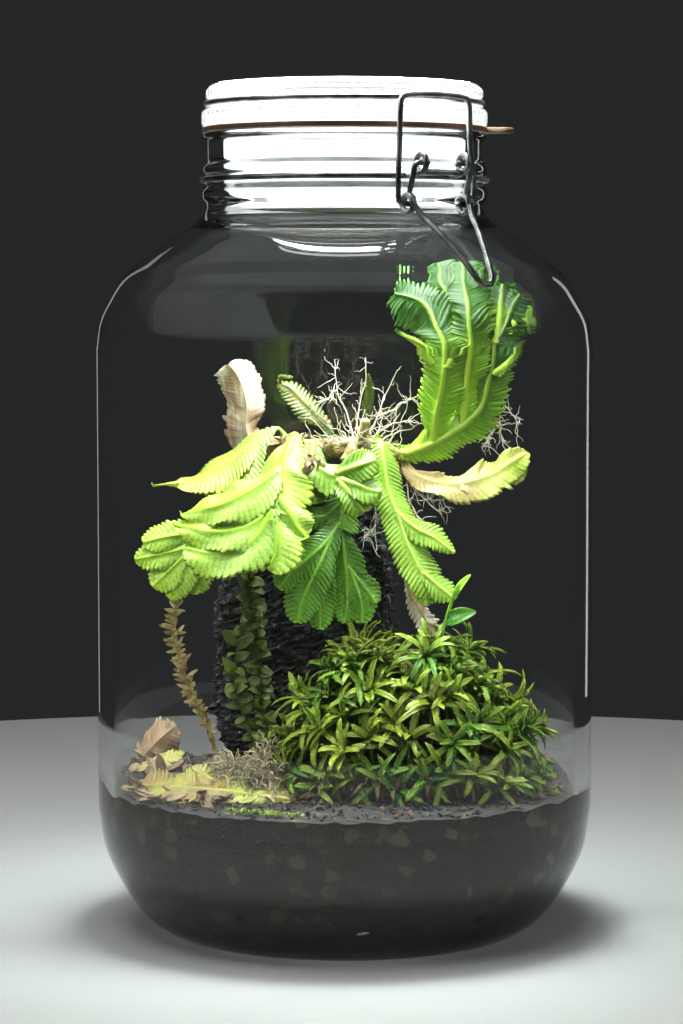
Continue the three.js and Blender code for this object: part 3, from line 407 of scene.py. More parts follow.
# The fan's near-black blade colour is used at the top of the fan as painted shade under the jar's shoulder.
fan_frond = leaf_finish("fan frond", (0.012, 0.06, 0.003), (0.24, 0.47, 0.015), (0.42, 0.57, 0.05),
                        gloss=0.28, groove_shade=0.3)
bright_frond = leaf_finish("bright frond", (0.13, 0.32, 0.018), (0.3, 0.48, 0.04), (0.44, 0.6, 0.1),
                           gloss=0.26)
olive_frond = leaf_finish("olive frond", (0.016, 0.042, 0.003), (0.1, 0.13, 0.008), (0.03, 0.065, 0.005),
                          blotch=(0.3, 0.24, 0.06), amount=0.5)
dead_frond = leaf_finish("dead frond", (0.2, 0.1, 0.025), (0.88, 0.8, 0.62), (0.42, 0.27, 0.1),
                         blotch=(0.26, 0.12, 0.03), amount=0.8, gloss=0.6, scale=190.0, bump=0.5, soft=0.05,
                         streak=0.16)
blush_frond = leaf_finish("blush frond", (0.66, 0.52, 0.24), (0.38, 0.52, 0.03), (0.6, 0.54, 0.18),
                          blotch=(0.52, 0.3, 0.14), amount=0.4, gloss=0.3, groove_shade=0.2)
climber_leaf = leaf_finish("climber leaf", (0.024, 0.062, 0.006), (0.16, 0.2, 0.014), (0.08, 0.13, 0.02),
                           blotch=(0.09, 0.08, 0.01), amount=0.5, gloss=0.34)
strap_leaf = leaf_finish("strap leaf", (0.024, 0.11, 0.008), (0.34, 0.45, 0.03), (0.13, 0.27, 0.03),
                         blotch=(0.24, 0.2, 0.02), amount=0.5, gloss=0.15, scale=45.0)
brown_strap = leaf_finish("old strap leaf", (0.035, 0.022, 0.008), (0.3, 0.24, 0.06), (0.14, 0.09, 0.035),
                          blotch=(0.02, 0.012, 0.006), amount=0.6, gloss=0.5)
oval_leaf = leaf_finish("oval leaf", (0.02, 0.12, 0.01), (0.26, 0.48, 0.02), (0.08, 0.24, 0.04), gloss=0.16)
fallen_frond = leaf_finish("fallen frond", (0.42, 0.33, 0.09), (0.3, 0.42, 0.02), (0.44, 0.42, 0.08),
                           blotch=(0.3, 0.17, 0.06), amount=0.8, gloss=0.3)
husk_leaf = leaf_finish("dead husk", (0.26, 0.15, 0.08), (0.42, 0.28, 0.17), (0.26, 0.16, 0.07),
                        blotch=(0.08, 0.045, 0.02), amount=0.7, gloss=0.6, bump=0.5, soft=0.03)
print("leaf finishes:", len([m for m in bpy.data.materials if m.use_nodes]))

# %% [markdown]
# The glass jar
#
# A jar like this is blown in a mould: a thick foot, a rounded heel, a straight wall, a shoulder that
# sweeps into the neck, two beads that hold the neck wire, and a ground rim. One closed profile with
# its inner face turns into all of that on a lathe. The real wall thickness matters here, because two
# faces bend the light and draw the bright lines that make glass look like glass.

# %% Turn the jar from its profile
WALL_R, INSIDE_R, INSIDE_FLOOR = 104.0, 97.3, 9.5
WALL_LOW, WALL_HIGH = 62, 233
POLE = 0.03


def flat_line(keys, spacing):
    """A smooth line through points of radius and height."""
    return line_through(np.column_stack([keys, np.zeros(len(keys))]), spacing)[:, :2]


def bend_through(keys, count):
    return flat_line(keys, sum(math.dist(a, b) for a, b in zip(keys, keys[1:])) / count)


def rounded(corners, radius, steps=3):
    """Rounds each inner corner of a profile by up to `radius`."""
    corners = np.asarray(corners, float)
    out = [corners[0]]
    for before, corner, after in zip(corners, corners[1:], corners[2:]):
        a, b = before - corner, after - corner
        cut = min(radius, 0.42 * np.linalg.norm(a), 0.42 * np.linalg.norm(b))
        start, end = corner + unit(a) * cut, corner + unit(b) * cut
        for t in np.linspace(0, 1, steps + 1):
            out.append((1 - t) ** 2 * start + 2 * t * (1 - t) * corner + t**2 * end)
    return np.array([*out, corners[-1]])


foot = rounded([[POLE, 3], [56, 3], [60, 2.4], [65, 0.1], [68, 0], [73, 0], [77, 0.5]], 1.2)
heel = bend_through([[77, 0.5], [84.5, 6], [93.8, 18.9], [101, 34], [WALL_R, 52]], 22)
wall = np.column_stack([np.full(9, WALL_R), np.linspace(WALL_LOW, WALL_HIGH, 9)])
shoulder = bend_through([[WALL_R, 243], [102.2, 255], [97.8, 264.6], [92.4, 273], [84, 280.1],
                         [76.9, 285.5], [68.6, 291.3], [62.2, 295.4], [57.8, 299.8]], 30)
beads = rounded([[57.8, 299.8], [57.8, 302.6], [59.5, 304.8], [59.8, 308.4], [57.8, 311.2], [57.8, 314.8],
                 [59.3, 316.2], [59.2, 318.6], [57.5, 320.8], [57.5, 329.2], [59.3, 330.4], [59.3, 332.4],
                 [50.5, 332.4], [50.5, 299]], 1.1)
inner_shoulder = bend_through([[50.5, 299], [55.2, 292.2], [61.9, 288], [70.2, 282.2], [77.4, 276.8],
                               [85.6, 269.6], [91.2, 261], [95.5, 251.6], [INSIDE_R, 240]], 34)
inner_wall = np.column_stack([np.full(9, INSIDE_R), np.linspace(WALL_HIGH, WALL_LOW, 9)])
INNER_HEEL = [[INSIDE_R, 52], [93.6, 34], [86.5, 21.5], [75, 12.2], [64, INSIDE_FLOOR]]
jar_profile = np.vstack([foot[:-1], heel, wall, shoulder[:-1], beads[1:-1], inner_shoulder, inner_wall,
                         bend_through(INNER_HEEL, 18), [[POLE, INSIDE_FLOOR]]])


def hand_made(radius, height, turn):
    """The faint unevenness of a moulded wall, under a tenth of a millimetre, away from the neck."""
    wave = np.sin(3 * turn + height * 0.031) + 0.6 * np.sin(5 * turn - height * 0.047)
    here = np.clip((285 - height) / 60, 0, 1) * np.clip(radius / 60, 0, 1)
    return radius + 0.05 * wave * here


def glass_finish(name, tint, roughness, waviness, clearness=1.0):
    """Clear glass that lets the light of the lamps through, so that the plants inside are lit."""
    material, tree, place = start_finish(name)
    ripple = calc(tree, "MULTIPLY", noise(tree, place, 26.0), waviness)
    glass = put(tree, "ShaderNodeBsdfPrincipled", {
        "Base Color": tint, "Roughness": roughness, "IOR": 1.5, "Transmission Weight": clearness,
        "Normal": relief(tree, ripple, 0.35, 0.001)})
    clear = put(tree, "ShaderNodeBsdfTransparent", {0: (0.94, 0.97, 0.96)})
    shadow = put(tree, "ShaderNodeLightPath").outputs["Is Shadow Ray"]
    both = put(tree, "ShaderNodeMixShader", {0: shadow, 1: glass.outputs[0], 2: clear.outputs[0]})
    put(tree, "ShaderNodeOutputMaterial", {0: both.outputs[0]})
    return material


jar_mesh = Bundle()
lathe(jar_mesh, jar_profile, 160, hand_made)
jar_glass = glass_finish("jar glass", (0.97, 0.99, 0.985), 0.012, 0.12)
make_piece("glass_jar", jar_mesh, jar_glass, "jar_body", ["jar"], sharp=50)

# %% [markdown]
# The glass lid
#
# The lid is pressed glass, thick and a little duller than the jar. Its top is a low drum above a
# groove for the wire, and its flange carries fine vertical ribs for grip. The plug below fits in
# the mouth. The ribs are a ripple of the radius, kept to the flange and the edge of the drum.

# %% Press the lid
LID_PROFILE = rounded([[POLE, 333.6], [40, 333.2], [44, 330.7], [48.8, 330.7], [48.8, 335.2], [58.9, 335.2],
                       [59.4, 336], [59.4, 341.1], [58, 342.5], [56, 342.5], [56, 346.5], [57.2, 346.5],
                       [57.6, 347.5], [57.6, 350.3], [55.6, 352.4], [51, 352.4], [49.5, 351.9],
                       [POLE, 351.9]], 0.8)


def grip_ribs(radius, height, turn):
    on_flange = (radius > 59) & (height > 336) & (height < 341)
    on_drum = (radius > 57.3) & (height > 347) & (height < 350.6)
    return radius + 0.12 * np.cos(80 * turn) * (on_flange + 0.8 * on_drum)


lid_mesh = Bundle()
lathe(lid_mesh, LID_PROFILE, 320, grip_ribs)
lid_glass = glass_finish("lid glass", (0.96, 0.985, 0.98), 0.05, 0.2, clearness=0.975)
make_piece("glass_lid", lid_mesh, lid_glass, "lid_body", ["lid"], sharp=50)

# %% [markdown]
# Condensation
#
# Damp air from the plants condenses inside the neck and under the lid. The film of tiny drops is
# what catches the lamp and makes the top of the jar glow white. It is a thin shell just inside the
# glass, cloudy in patches, and denser towards the rim.

# %% A thin film of tiny drops
mist, tree, place = start_finish("condensation")
clouds, drops = noise(tree, place, 45.0, 4.0), cells(tree, place, 900.0)["Distance"]
level = span(tree, put(tree, "ShaderNodeSeparateXYZ", {0: place}).outputs[2], 0.298, 0.33)
film = calc(tree, "ADD", 0.04, calc(tree, "MULTIPLY", level, 0.18))
end_finish(tree, mix_colours(tree, clouds, (0.86, 0.9, 0.9), (0.95, 0.96, 0.95)),
           span(tree, drops, 0.0, 0.5, 0.15, 0.5), relief(tree, drops, 0.4, 0.0003),
           Alpha=calc(tree, "MULTIPLY", film, span(tree, clouds, 0.25, 0.65, 0.5, 1.0)))


def mist_shell(name, radius, height, inward, body):
    """A closed shell as thick as the step inward, which stays clear of the glass."""
    outer = np.column_stack(np.broadcast_arrays(radius, height))
    shell = Bundle()
    closed_ring(shell, np.vstack([outer, outer[::-1] + inward]))
    make_piece(name, shell, mist, body, [])


mist_shell("neck_condensation", 50.3, np.linspace(299.5, 331.5, 12), [-0.15, 0], "jar_body")
mist_shell("lid_condensation", np.linspace(1.5, 39.0, 12), 332.9, [0, -0.15], "lid_body")

# %% [markdown]
# The rubber gasket
#
# A flat ring of natural rubber seals the lid, with a tongue to pull it off by. Rubber of this kind
# lets a little light through, which makes it glow orange-brown at the edge. Rounded edges catch a
# thin highlight, so the section is a rounded strip and not a plain rectangle.

# %% Make the gasket with its pull tab
GASKET_LOW, GASKET_HIGH = 332.7, 334.9
TAB_FOOT, TAB_END, TAB_HALF = 57, 64.5, 6.0

rubber, tree, place = start_finish("gasket rubber")
mottle, powder = noise(tree, place, 90.0, 4.0), noise(tree, place, 1500.0)
end_finish(tree, mix_colours(tree, span(tree, mottle, 0.3, 0.7), (0.085, 0.055, 0.036), (0.14, 0.092, 0.06)),
           span(tree, powder, 0.3, 0.7, 0.38, 0.55), relief(tree, powder, 0.3, 0.0002),
           Subsurface_Weight=0.4, Subsurface_Scale=0.004, Subsurface_Radius=(1.0, 0.45, 0.2))

gasket_mesh = Bundle()
strip = rounded([[54, GASKET_LOW], [59.4, GASKET_LOW], [59.4, GASKET_HIGH], [49.6, GASKET_HIGH],
                 [49.6, GASKET_LOW], [54, GASKET_LOW]], 0.5)[:-1]
closed_ring(gasket_mesh, strip)

# The tongue points right in the view: straight sides, a half-round end, and rounded edges.
half_turn = np.linspace(-math.pi / 2, math.pi / 2, 20)
tab_end = np.column_stack([TAB_END + TAB_HALF * np.cos(half_turn), TAB_HALF * np.sin(half_turn)])
outline = np.vstack([[[TAB_FOOT, -TAB_HALF]], tab_end, [[TAB_FOOT, TAB_HALF]]])
tab_centre = np.array([60.0, 0.0])
levels = [(0.93, GASKET_LOW), (1.0, GASKET_LOW + 0.4), (1.0, GASKET_HIGH - 0.4), (0.93, GASKET_HIGH)]
rings = [np.insert(tab_centre + (outline - tab_centre) * size, 2, z, axis=1) for size, z in levels]
gasket_mesh.add_rings(np.array(rings))
make_piece("rubber_gasket", gasket_mesh, rubber, "lid_body", ["gasket"], sharp=60)

# %% [markdown]
# The wires
#
# One ring of spring wire grips the groove of the lid and one the neck. The lever and the bail pull
# them together. Drawn steel that has been handled is dark, with faint lines along it and a soft
# sheen. The wires follow the very same routes as the solids, with round sections and real coils.

# %% Bend the wires
WIRE_R, WIRE_SIDES = 1.2, 14
NECK_R, NECK_Z = 59.35, 313.1
LID_R, LID_Z = 57.6, 344.5
LUG_R, LUG_HALF_TURN = 60.4, 17
LATCH_Y, LATCH_Z, LATCH_X = -68, 318, 10.5
COIL_Y, COIL_Z, COIL_X = -64, 302, 14
HINGE_Y, HINGE_Z, HINGE_X, ARM_X = 67, 336, 9, 14
EYE_R, HINGE_EYE_R = 3.55, 3.4

dark_wire, tree, place = start_finish("dark steel wire")
smudge, drawn = noise(tree, place, 120.0, 5.0), noise(tree, place, 2200.0)
end_finish(tree, mix_colours(tree, span(tree, smudge, 0.4, 0.65), (0.13, 0.135, 0.14), (0.27, 0.27, 0.265)),
           span(tree, smudge, 0.3, 0.7, 0.27, 0.42), relief(tree, drawn, 0.15, 0.0001), Metallic=1.0)


def wire(bundle, keys):
    add_tube(bundle, line_through(keys, 0.8), WIRE_R, WIRE_SIDES)


def ring_round(bundle, centre, radius, axis="x", turns=1.0, rise=0.0):
    """A round eye of wire. With turns and a rise it is a coil."""
    turn = np.linspace(0, 2 * math.pi * turns, max(40, int(44 * turns)))
    a, b = radius * np.cos(turn), radius * np.sin(turn)
    along = np.linspace(-rise / 2, rise / 2, len(turn))
    columns = [along, a, b] if axis == "x" else [a, b, along]
    add_tube(bundle, np.column_stack(columns) + np.asarray(centre, float), WIRE_R, WIRE_SIDES)


def step_up(value, low, high):
    t = np.clip((value - low) / (high - low), 0, 1)
    return t * t * (3 - 2 * t)


def lid_ring_point(degrees):
    """The ring runs round the groove and stands out at the front as a lug for the bail."""
    rise = step_up(LUG_HALF_TURN - abs(degrees), 0, 11)
    r = LID_R + rise * (LUG_R - LID_R)
    turn = math.radians(degrees - 90)
    return [r * math.cos(turn), r * math.sin(turn), LID_Z + 0.7 * rise]


def mirrored(keys):
    return [[-x, y, z] for x, y, z in reversed(keys)]


lid_wire = Bundle()
add_tube(lid_wire, [lid_ring_point(d) for d in np.arange(-180, 182, 2.0)], WIRE_R, WIRE_SIDES)
ring_y = math.sqrt(LID_R**2 - ARM_X**2)
arm = [[ARM_X, ring_y - 0.4, LID_Z], [ARM_X, ring_y + 6, 344.3], [ARM_X, HINGE_Y, 341.5],
       [ARM_X, HINGE_Y, 337.6], [12.4, HINGE_Y, HINGE_Z]]
wire(lid_wire, [*arm, *mirrored(arm)])
make_piece("lid_wire", lid_wire, dark_wire, "lid_body", ["lid_ring"])

neck_wire = Bundle()
ring_round(neck_wire, [0, 0, NECK_Z], NECK_R, "z", 1.004)
eye_foot = LATCH_Z - EYE_R
for x, back_x in [(-LATCH_X, -HINGE_X), (LATCH_X, HINGE_X)]:
    front_y, back_y = math.sqrt(NECK_R**2 - x**2), math.sqrt(NECK_R**2 - back_x**2)
    ring_round(neck_wire, [x, LATCH_Y, LATCH_Z], EYE_R)
    wire(neck_wire, [[x, -front_y, NECK_Z], [x, (LATCH_Y - front_y) / 2, 313.3], [x, LATCH_Y, eye_foot]])
    ring_round(neck_wire, [back_x, HINGE_Y, HINGE_Z], HINGE_EYE_R)
    wire(neck_wire, [[back_x, back_y, NECK_Z], [back_x, 65, 313.7], [back_x, HINGE_Y, 317.1],
                     [back_x, HINGE_Y, HINGE_Z - HINGE_EYE_R]])
wire(neck_wire, [[-LATCH_X, LATCH_Y, eye_foot], [0, -68.6, eye_foot], [LATCH_X, LATCH_Y, eye_foot]])
make_piece("neck_wire", neck_wire, dark_wire, "jar_body", ["neck_ring"])

lever_wire = Bundle()
for side in (-1, 1):
    wire(lever_wire, [[side * 6.8, LATCH_Y, LATCH_Z], [side * 12, LATCH_Y, LATCH_Z],
                      [side * 13.6, LATCH_Y, 317], [side * COIL_X, -67.6, 314],
                      [side * COIL_X, -64.6, 305.55]])
    ring_round(lever_wire, [side * COIL_X, COIL_Y, COIL_Z], EYE_R, "x", 1.5, side * 1.6)
left_arm = [[COIL_X, COIL_Y - EYE_R, COIL_Z], [12.6, -71, 297.4], [10.6, -77.5, 291.7], [8.1, -84.4, 285.2],
            [5.6, -91, 278.2], [3.7, -95.6, 272.3], [2.1, -97, 270.2]]
wire(lever_wire, [*left_arm, [0, -97.2, 269.8], *mirrored(left_arm)])
make_piece("latch_lever_wire", lever_wire, dark_wire, "lever_body", ["latch_lever"])

bail_wire = Bundle()
bail_half = [[10.4, COIL_Y, COIL_Z], [16.4, COIL_Y, COIL_Z], [18.3, COIL_Y, 302.7], [18.8, COIL_Y, 305],
             [18.6, -63.8, 314], [17.5, -63.1, 328], [17, -63.1, 341], [16.2, -63.1, 343.8],
             [13.6, -63.1, 345]]
wire(bail_wire, [*bail_half, *mirrored(bail_half)])
make_piece("latch_bail_wire", bail_wire, dark_wire, "bail_body", ["latch_bail"])

# %% [markdown]
# Fern fronds
#
# The fern is a crested one: every frond forks into fingers, and each finger is a rib with dozens of
# narrow leaflets side by side, joined for most of their length and free at their tips. One blade
# follows one rib. Its grid leans forward leaflet by leaflet, swells between the grooves, stands up
# as a rounded rib in the middle and ends in a row of rounded teeth. The masks remember what is rib,
# what is groove and what is young; the groove mask is where the colour gets painted shade.

# %% Grow one blade along its rib
PER_LEAFLET = 5
ACROSS = np.array([0.0, 0.07, 0.2, 0.38, 0.56, 0.74, 0.88, 1.0])
TAPER = np.concatenate([ACROSS[::-1], ACROSS[1:]])
BLADE_THICK = 0.5


def add_blade(bundle, rib, face, leaflet=1.9, cut=0.2, lean=0.5, arch=0.22, puff=0.3, wave=0.5,
              rib_r=0.95, age=(1.0, 0.45), ragged=0.0, wide=1.0, rib_fade=0.0, seed=0):
    """A rib with its two rows of leaflets, as one closed thin plate. Age runs from base to tip."""
    rng = np.random.default_rng(1000 + seed)
    line = line_through(rib, leaflet / PER_LEAFLET)
    count = len(line)
    centre, half = line[:, :3], np.maximum(line[:, 3] * wide, 0.6)
    along = unit(np.gradient(centre, axis=0))
    side = unit(np.cross(along, np.asarray(face, float)))
    normal = np.cross(side, along)
    run = np.linspace(0, 1, count)
    length = (count - 1) * leaflet / PER_LEAFLET
    left_over = np.clip((1 - run) * length / min(3.0, length / 4), 0, 1)
    half = half * np.sqrt(1 - (1 - left_over) ** 2 * 0.9)
    leaf_index, within = np.divmod(np.arange(count), PER_LEAFLET)
    swell = np.sin(math.pi * within / PER_LEAFLET)
    rib_half = rib_r * (1 - 0.6 * run)
    # From here on, rows are places along the rib and columns are places across the blade.
    # Names that end in _ are columns: rows run along the rib, columns across the blade.
    run_, half_, swell_, rib_ = run[:, None], half[:, None], swell[:, None], rib_half[:, None]
    tops, masks = [], []
    for way in (-1, 1):
        jitter = 1 + (rng.random(leaf_index.max() + 1)[leaf_index] - 0.5) * (0.12 + ragged)
        droop = (rng.random(leaf_index.max() + 1)[leaf_index] - 0.5) * ragged
        teeth = 1 - cut * (1 - swell**0.45)
        reach = np.maximum(half * teeth * jitter, rib_half * 1.3)
        out = np.maximum(rib_, ACROSS * reach[:, None])
        out[:, 0] = 0
        out[:, 1] = np.minimum(0.6 * rib_half, out[:, 1])
        out[:, 2] = np.maximum(rib_half, np.minimum(out[:, 2], rib_half * 1.15))
        share = out / half_
        forward = lean * half_ * np.clip(share, 0, 1.2) ** 1.25
        rise = -arch * half_ * share**2
        rise += puff * (swell_ - 0.5) * np.clip(share * 2.2 - 0.25, 0, 1)
        rise += wave * np.sin(run_ * length * 0.32 + 2.4 * share * way + seed) * share
        rise += droop[:, None] * half_ * share
        roll = np.sqrt(np.clip(1 - (out / (rib_ * 1.08)) ** 2, 0, 1))
        rise += rib_ * 0.75 * roll
        tops.append(centre[:, None] + way * out[..., None] * side[:, None]
                    + forward[..., None] * along[:, None] + rise[..., None] * normal[:, None])
        is_rib = np.clip(1.25 * roll, 0, 1) * 0.95 + 0.12 * swell_**3 * (share > 0.25)
        # The groove mask marks where the tissue is darkened as painted shade.
        groove_shade = (1 - swell_) ** 2 * np.clip(share * 2.4 - 0.3, 0, 1)
        old = age[0] + (age[1] - age[0]) * run_ - 0.35 * np.clip(share - 0.55, 0, 1)
        is_rib = is_rib * (1 - rib_fade * run_)
        masks.append(np.stack([np.clip(is_rib, 0, 1), np.clip(old, 0, 1), groove_shade], axis=-1))
    top, mask = [np.concatenate([left[:, ::-1], right[:, 1:]], axis=1) for left, right in (tops, masks)]
    depth = BLADE_THICK * (1.05 - 0.75 * TAPER[1:-1]) + rib_ * 0.9 * (TAPER[1:-1] < 0.1)
    bottom = top[:, 1:-1] - depth[..., None] * normal[:, None]
    bundle.add_rings(np.concatenate([top, bottom[:, ::-1]], axis=1),
                     np.concatenate([mask, mask[:, 1:-1][:, ::-1]], axis=1))


def grow_frond(piece, node, face, ribs, finish, slot, first_seed, **shape):
    """All blades of one frond. `face` is the side that it turns to the viewer."""
    frond = Bundle()
    for number, rib in enumerate(ribs):
        add_blade(frond, rib, face, seed=first_seed + number, **shape)
    make_piece(piece, frond, finish, "jar_body", [node])


# %% Routes of the fronds
# Each frond has its face and its ribs. Each rib lists x, y, z and half width, seen from the front.
FRONDS = {
    "front_left": ([-0.25, -0.8, 0.75], [
        [[-20, -2, 204, 1.6], [-21, -9, 207, 2.5], [-23, -18, 202, 5.5], [-26, -25, 194, 9],
         [-26, -30, 187, 9], [-29, -36, 178, 8]],
        [[-26, -24, 195, 2], [-33, -30, 189, 8], [-41, -34, 184, 8.5], [-50, -35, 180, 6],
         [-58, -34, 178, 4.5], [-66, -32, 176, 1.2]],
        [[-27, -33, 183, 2], [-35, -38, 174, 7.5], [-45, -40, 170, 7], [-55, -39, 169.5, 5.5],
         [-62, -37, 171, 4], [-69, -35, 172, 1]],
        [[-29, -37, 178, 2], [-36, -42, 167, 8], [-44, -43, 162, 8], [-54, -42, 161, 7],
         [-64, -40, 163, 2.5]],
        [[-29, -36, 178, 3], [-27, -42, 168, 7.5], [-28, -45, 160, 7], [-31, -46, 155, 2.5]],
        [[-27, -33, 184, 2], [-22, -38, 176, 6], [-19, -40, 171, 5], [-15, -41, 167, 1]],
    ]),
    "left_narrow": ([-0.2, -0.6, 1], [
        [[-24, 0, 205, 1.6], [-28, -3, 210, 2.2], [-34, -7, 207, 5], [-43, -11, 200, 8.5],
         [-55, -15, 191, 8], [-64, -17, 188, 4], [-69, -18, 188, 1], [-79, -18, 187, 0.8]],
        [[-34, -8, 206, 2], [-38, -13, 200, 6.5], [-42, -17, 193, 7], [-47, -20, 186, 5.5],
         [-53, -22, 181, 1.5]],
    ]),
    "left_low": ([-0.3, -1, 0.3], [
        [[-12, 0, 203, 1.4], [-17, -8, 196, 1.2], [-27, -16, 187, 1.2], [-44, -22, 174, 1.6],
         [-60, -25, 164, 3.5]],
        [[-56, -24, 166, 2.5], [-66, -25, 167, 5], [-74, -26, 166, 4.5], [-82, -26, 164, 1.5]],
        [[-58, -25, 164, 2.5], [-67, -26, 161, 5], [-76, -27, 159, 4.5], [-85, -27, 157, 1.5]],
        [[-59, -25, 164, 2.5], [-67, -27, 157, 5], [-73, -28, 151, 5], [-78, -28, 146, 1.5]],
        [[-59, -25, 165, 2.5], [-64, -28, 156, 5.5], [-68, -29, 149, 5], [-71, -29, 141, 1.5]],
        [[-57, -25, 166, 2.5], [-59, -28, 156, 5.5], [-61, -29, 149, 4.5], [-61, -29, 143, 1.5]],
    ]),
    "back_left": ([0.3, -0.9, 0.6], [
        [[-6, 1, 203, 1.4], [-7, 4, 210, 2.5], [-12, 6, 215, 5.8], [-18, 8, 221, 5.5], [-23, 10, 226, 4],
         [-27, 11, 228, 1.8], [-27, 10, 231, 1], [-22, 9, 231, 0.9]],
    ]),
    "dead_stub": ([0.1, -1, 0.1], [
        [[-24, 2, 204, 1.6], [-33, 6, 202.5, 3.5], [-40, 8, 205, 5.5], [-42, 8, 211, 6.2],
         [-41.5, 8, 218, 6.4], [-43, 8, 226, 6.4], [-46, 8, 233, 5.5], [-49, 8, 237, 3]],
    ]),
    "young": ([0.1, -1, 0.45], [
        [[9, -1, 203, 1.2], [8.6, 3, 211, 1.4], [9.4, 3, 218, 2.4], [10.5, 2, 225, 2], [10, 1, 233, 0.8]],
    ]),
    "centre": ([0.2, -1, 0.6], [
        [[-12, -1, 203, 1.6], [-13, -8, 203, 3], [-13, -16, 197, 6], [-8, -21, 193, 6.5],
         [-1, -24, 190, 5.5]],
        [[-4, -22, 192, 2.5], [1, -24, 194, 5], [7, -25, 196, 5], [13, -25, 198, 2]],
        [[-2, -24, 190, 2.5], [5, -27, 188, 5], [10, -28, 186, 4.5], [15, -29, 185, 2]],
        [[-3, -24, 190, 2.5], [1, -27, 186, 4.5], [5, -29, 181, 4.5], [8, -30, 177, 2]],
        [[-13, -15, 198, 2.5], [-14, -19, 191, 4.5], [-13, -22, 185, 4.5], [-12, -24, 180, 1.5]],
    ]),
    "low_centre": ([0, -1, 0.35], [
        [[2, 0, 201, 1.6], [2, -9, 196, 2.2], [1, -14, 188, 3], [-1, -19, 181, 6], [-2, -25, 170, 7.5]],
        [[-1, -19, 180, 2], [-8, -23, 175, 5], [-16, -25, 174, 1.5]],
        [[-2, -24, 172, 2.5], [-8, -29, 164, 7], [-16, -32, 157, 7], [-22, -33, 152, 5.5],
         [-27, -34, 146, 2]],
        [[-5, -27, 167, 2.5], [-10, -32, 156, 7], [-15, -34, 146, 7], [-18, -35, 138, 5.5],
         [-19, -35, 132, 2]],
        [[-6, -29, 162, 2.5], [-9, -31, 149, 5.5], [-10, -32, 138, 5.5], [-10, -32, 129, 2]],
        [[-2, -24, 171, 2.5], [0, -26, 159, 7], [1, -27, 148, 7], [1, -28, 139, 5.5], [0, -28, 131, 2]],
        [[0, -25, 158, 2.5], [4, -27, 148, 5.5], [7, -28, 139, 5.5], [7, -28, 131, 2]],
        [[1, -26, 154, 2.5], [8, -27, 146, 5], [13, -28, 139, 2]],
    ]),
    "right_hanging": ([0.3, -1, 0.4], [
        [[14, -2, 203, 1.8], [15, -8, 205, 3.5], [16, -13, 199, 6], [18, -18, 186, 6.5], [22, -23, 175, 7],
         [27, -28, 161, 7.5], [33, -31, 150, 7], [37, -32, 143, 2.5]],
        [[30, -30, 155, 2.5], [33, -31, 147, 5], [33, -32, 139, 2]],
        [[32, -31, 152, 2.5], [38, -32, 147, 5.5], [44, -33, 142, 2]],
        [[21, -22, 177, 2.5], [29, -25, 170, 5.5], [37, -27, 166, 4.5], [45, -29, 160, 0.8]],
    ]),
    "right_fan": ([-0.15, -1, 0.1], [
        [[19, -3, 201, 1.8], [26, -7, 200, 3.5], [35, -9, 203, 6], [44, -11, 208, 6], [51, -13, 213, 7],
         [57, -14, 220, 6.5], [59, -15, 228, 6.5], [61, -15, 237, 6.5], [62, -14, 246, 6.5],
         [66, -11, 255, 6.5], [73, -8, 266, 4]],
        [[49, -12, 212, 2.5], [50, -14, 224, 6], [51, -16, 236, 6.5], [52, -17, 247, 6], [51, -16, 258, 6.5],
         [50, -11, 267, 7], [49, -5, 276, 5]],
        [[37, -9, 204, 3], [38, -12, 216, 6.5], [40, -15, 226, 7.5], [41, -17, 236, 7.5],
         [41, -17, 246, 6.5], [38, -13, 256, 7], [31, -8, 263, 7], [21, -4, 267, 5]],
        [[41, -17, 236, 2.5], [45, -16, 244, 5.5], [46, -12, 255, 6.5], [43, -7, 266, 7], [39, -2, 275, 5]],
        [[52, -16, 245, 2.5], [55, -12, 253, 5], [57, -7, 264, 7], [57, -3, 273, 4.5]],
        [[62, -14, 246, 2.5], [64, -10, 257, 6], [66, -6, 271, 3.5]],
        [[37, -15, 238, 2.5], [29, -17, 248, 1.4], [21, -18, 255, 0.8]],
        [[61, -15, 233, 2.5], [68, -16, 239, 1.8], [74, -16, 248, 0.8]],
        [[69, -10, 257, 2.5], [75, -9, 257, 3.5], [77, -8, 252, 1.5]],
    ]),
    "blush": ([0, -0.8, 0.8], [
        [[24, -2, 198, 1.6], [28, -7, 192, 4], [37, -10, 188, 6], [46, -12, 187, 8], [55, -13, 189, 10],
         [63, -13, 192, 8], [69, -12, 196, 6], [76, -11, 200, 2.5]],
        [[48, -12, 187, 3], [54, -14, 185, 4], [58, -15, 181, 1.5]],
        [[64, -13, 192, 3], [70, -12, 192, 4], [76, -12, 195, 1.5]],
    ]),
    "dead_hanging": ([0.2, -1, 0.2], [
        [[22, -3, 199, 1.2], [22, -9, 190, 1], [23, -15, 172, 1], [25, -19, 155, 1.2], [27, -22, 143, 2.5],
         [30, -24, 137, 4.5], [34, -26, 131, 4.5], [39, -28, 126, 1.5]],
    ]),
}

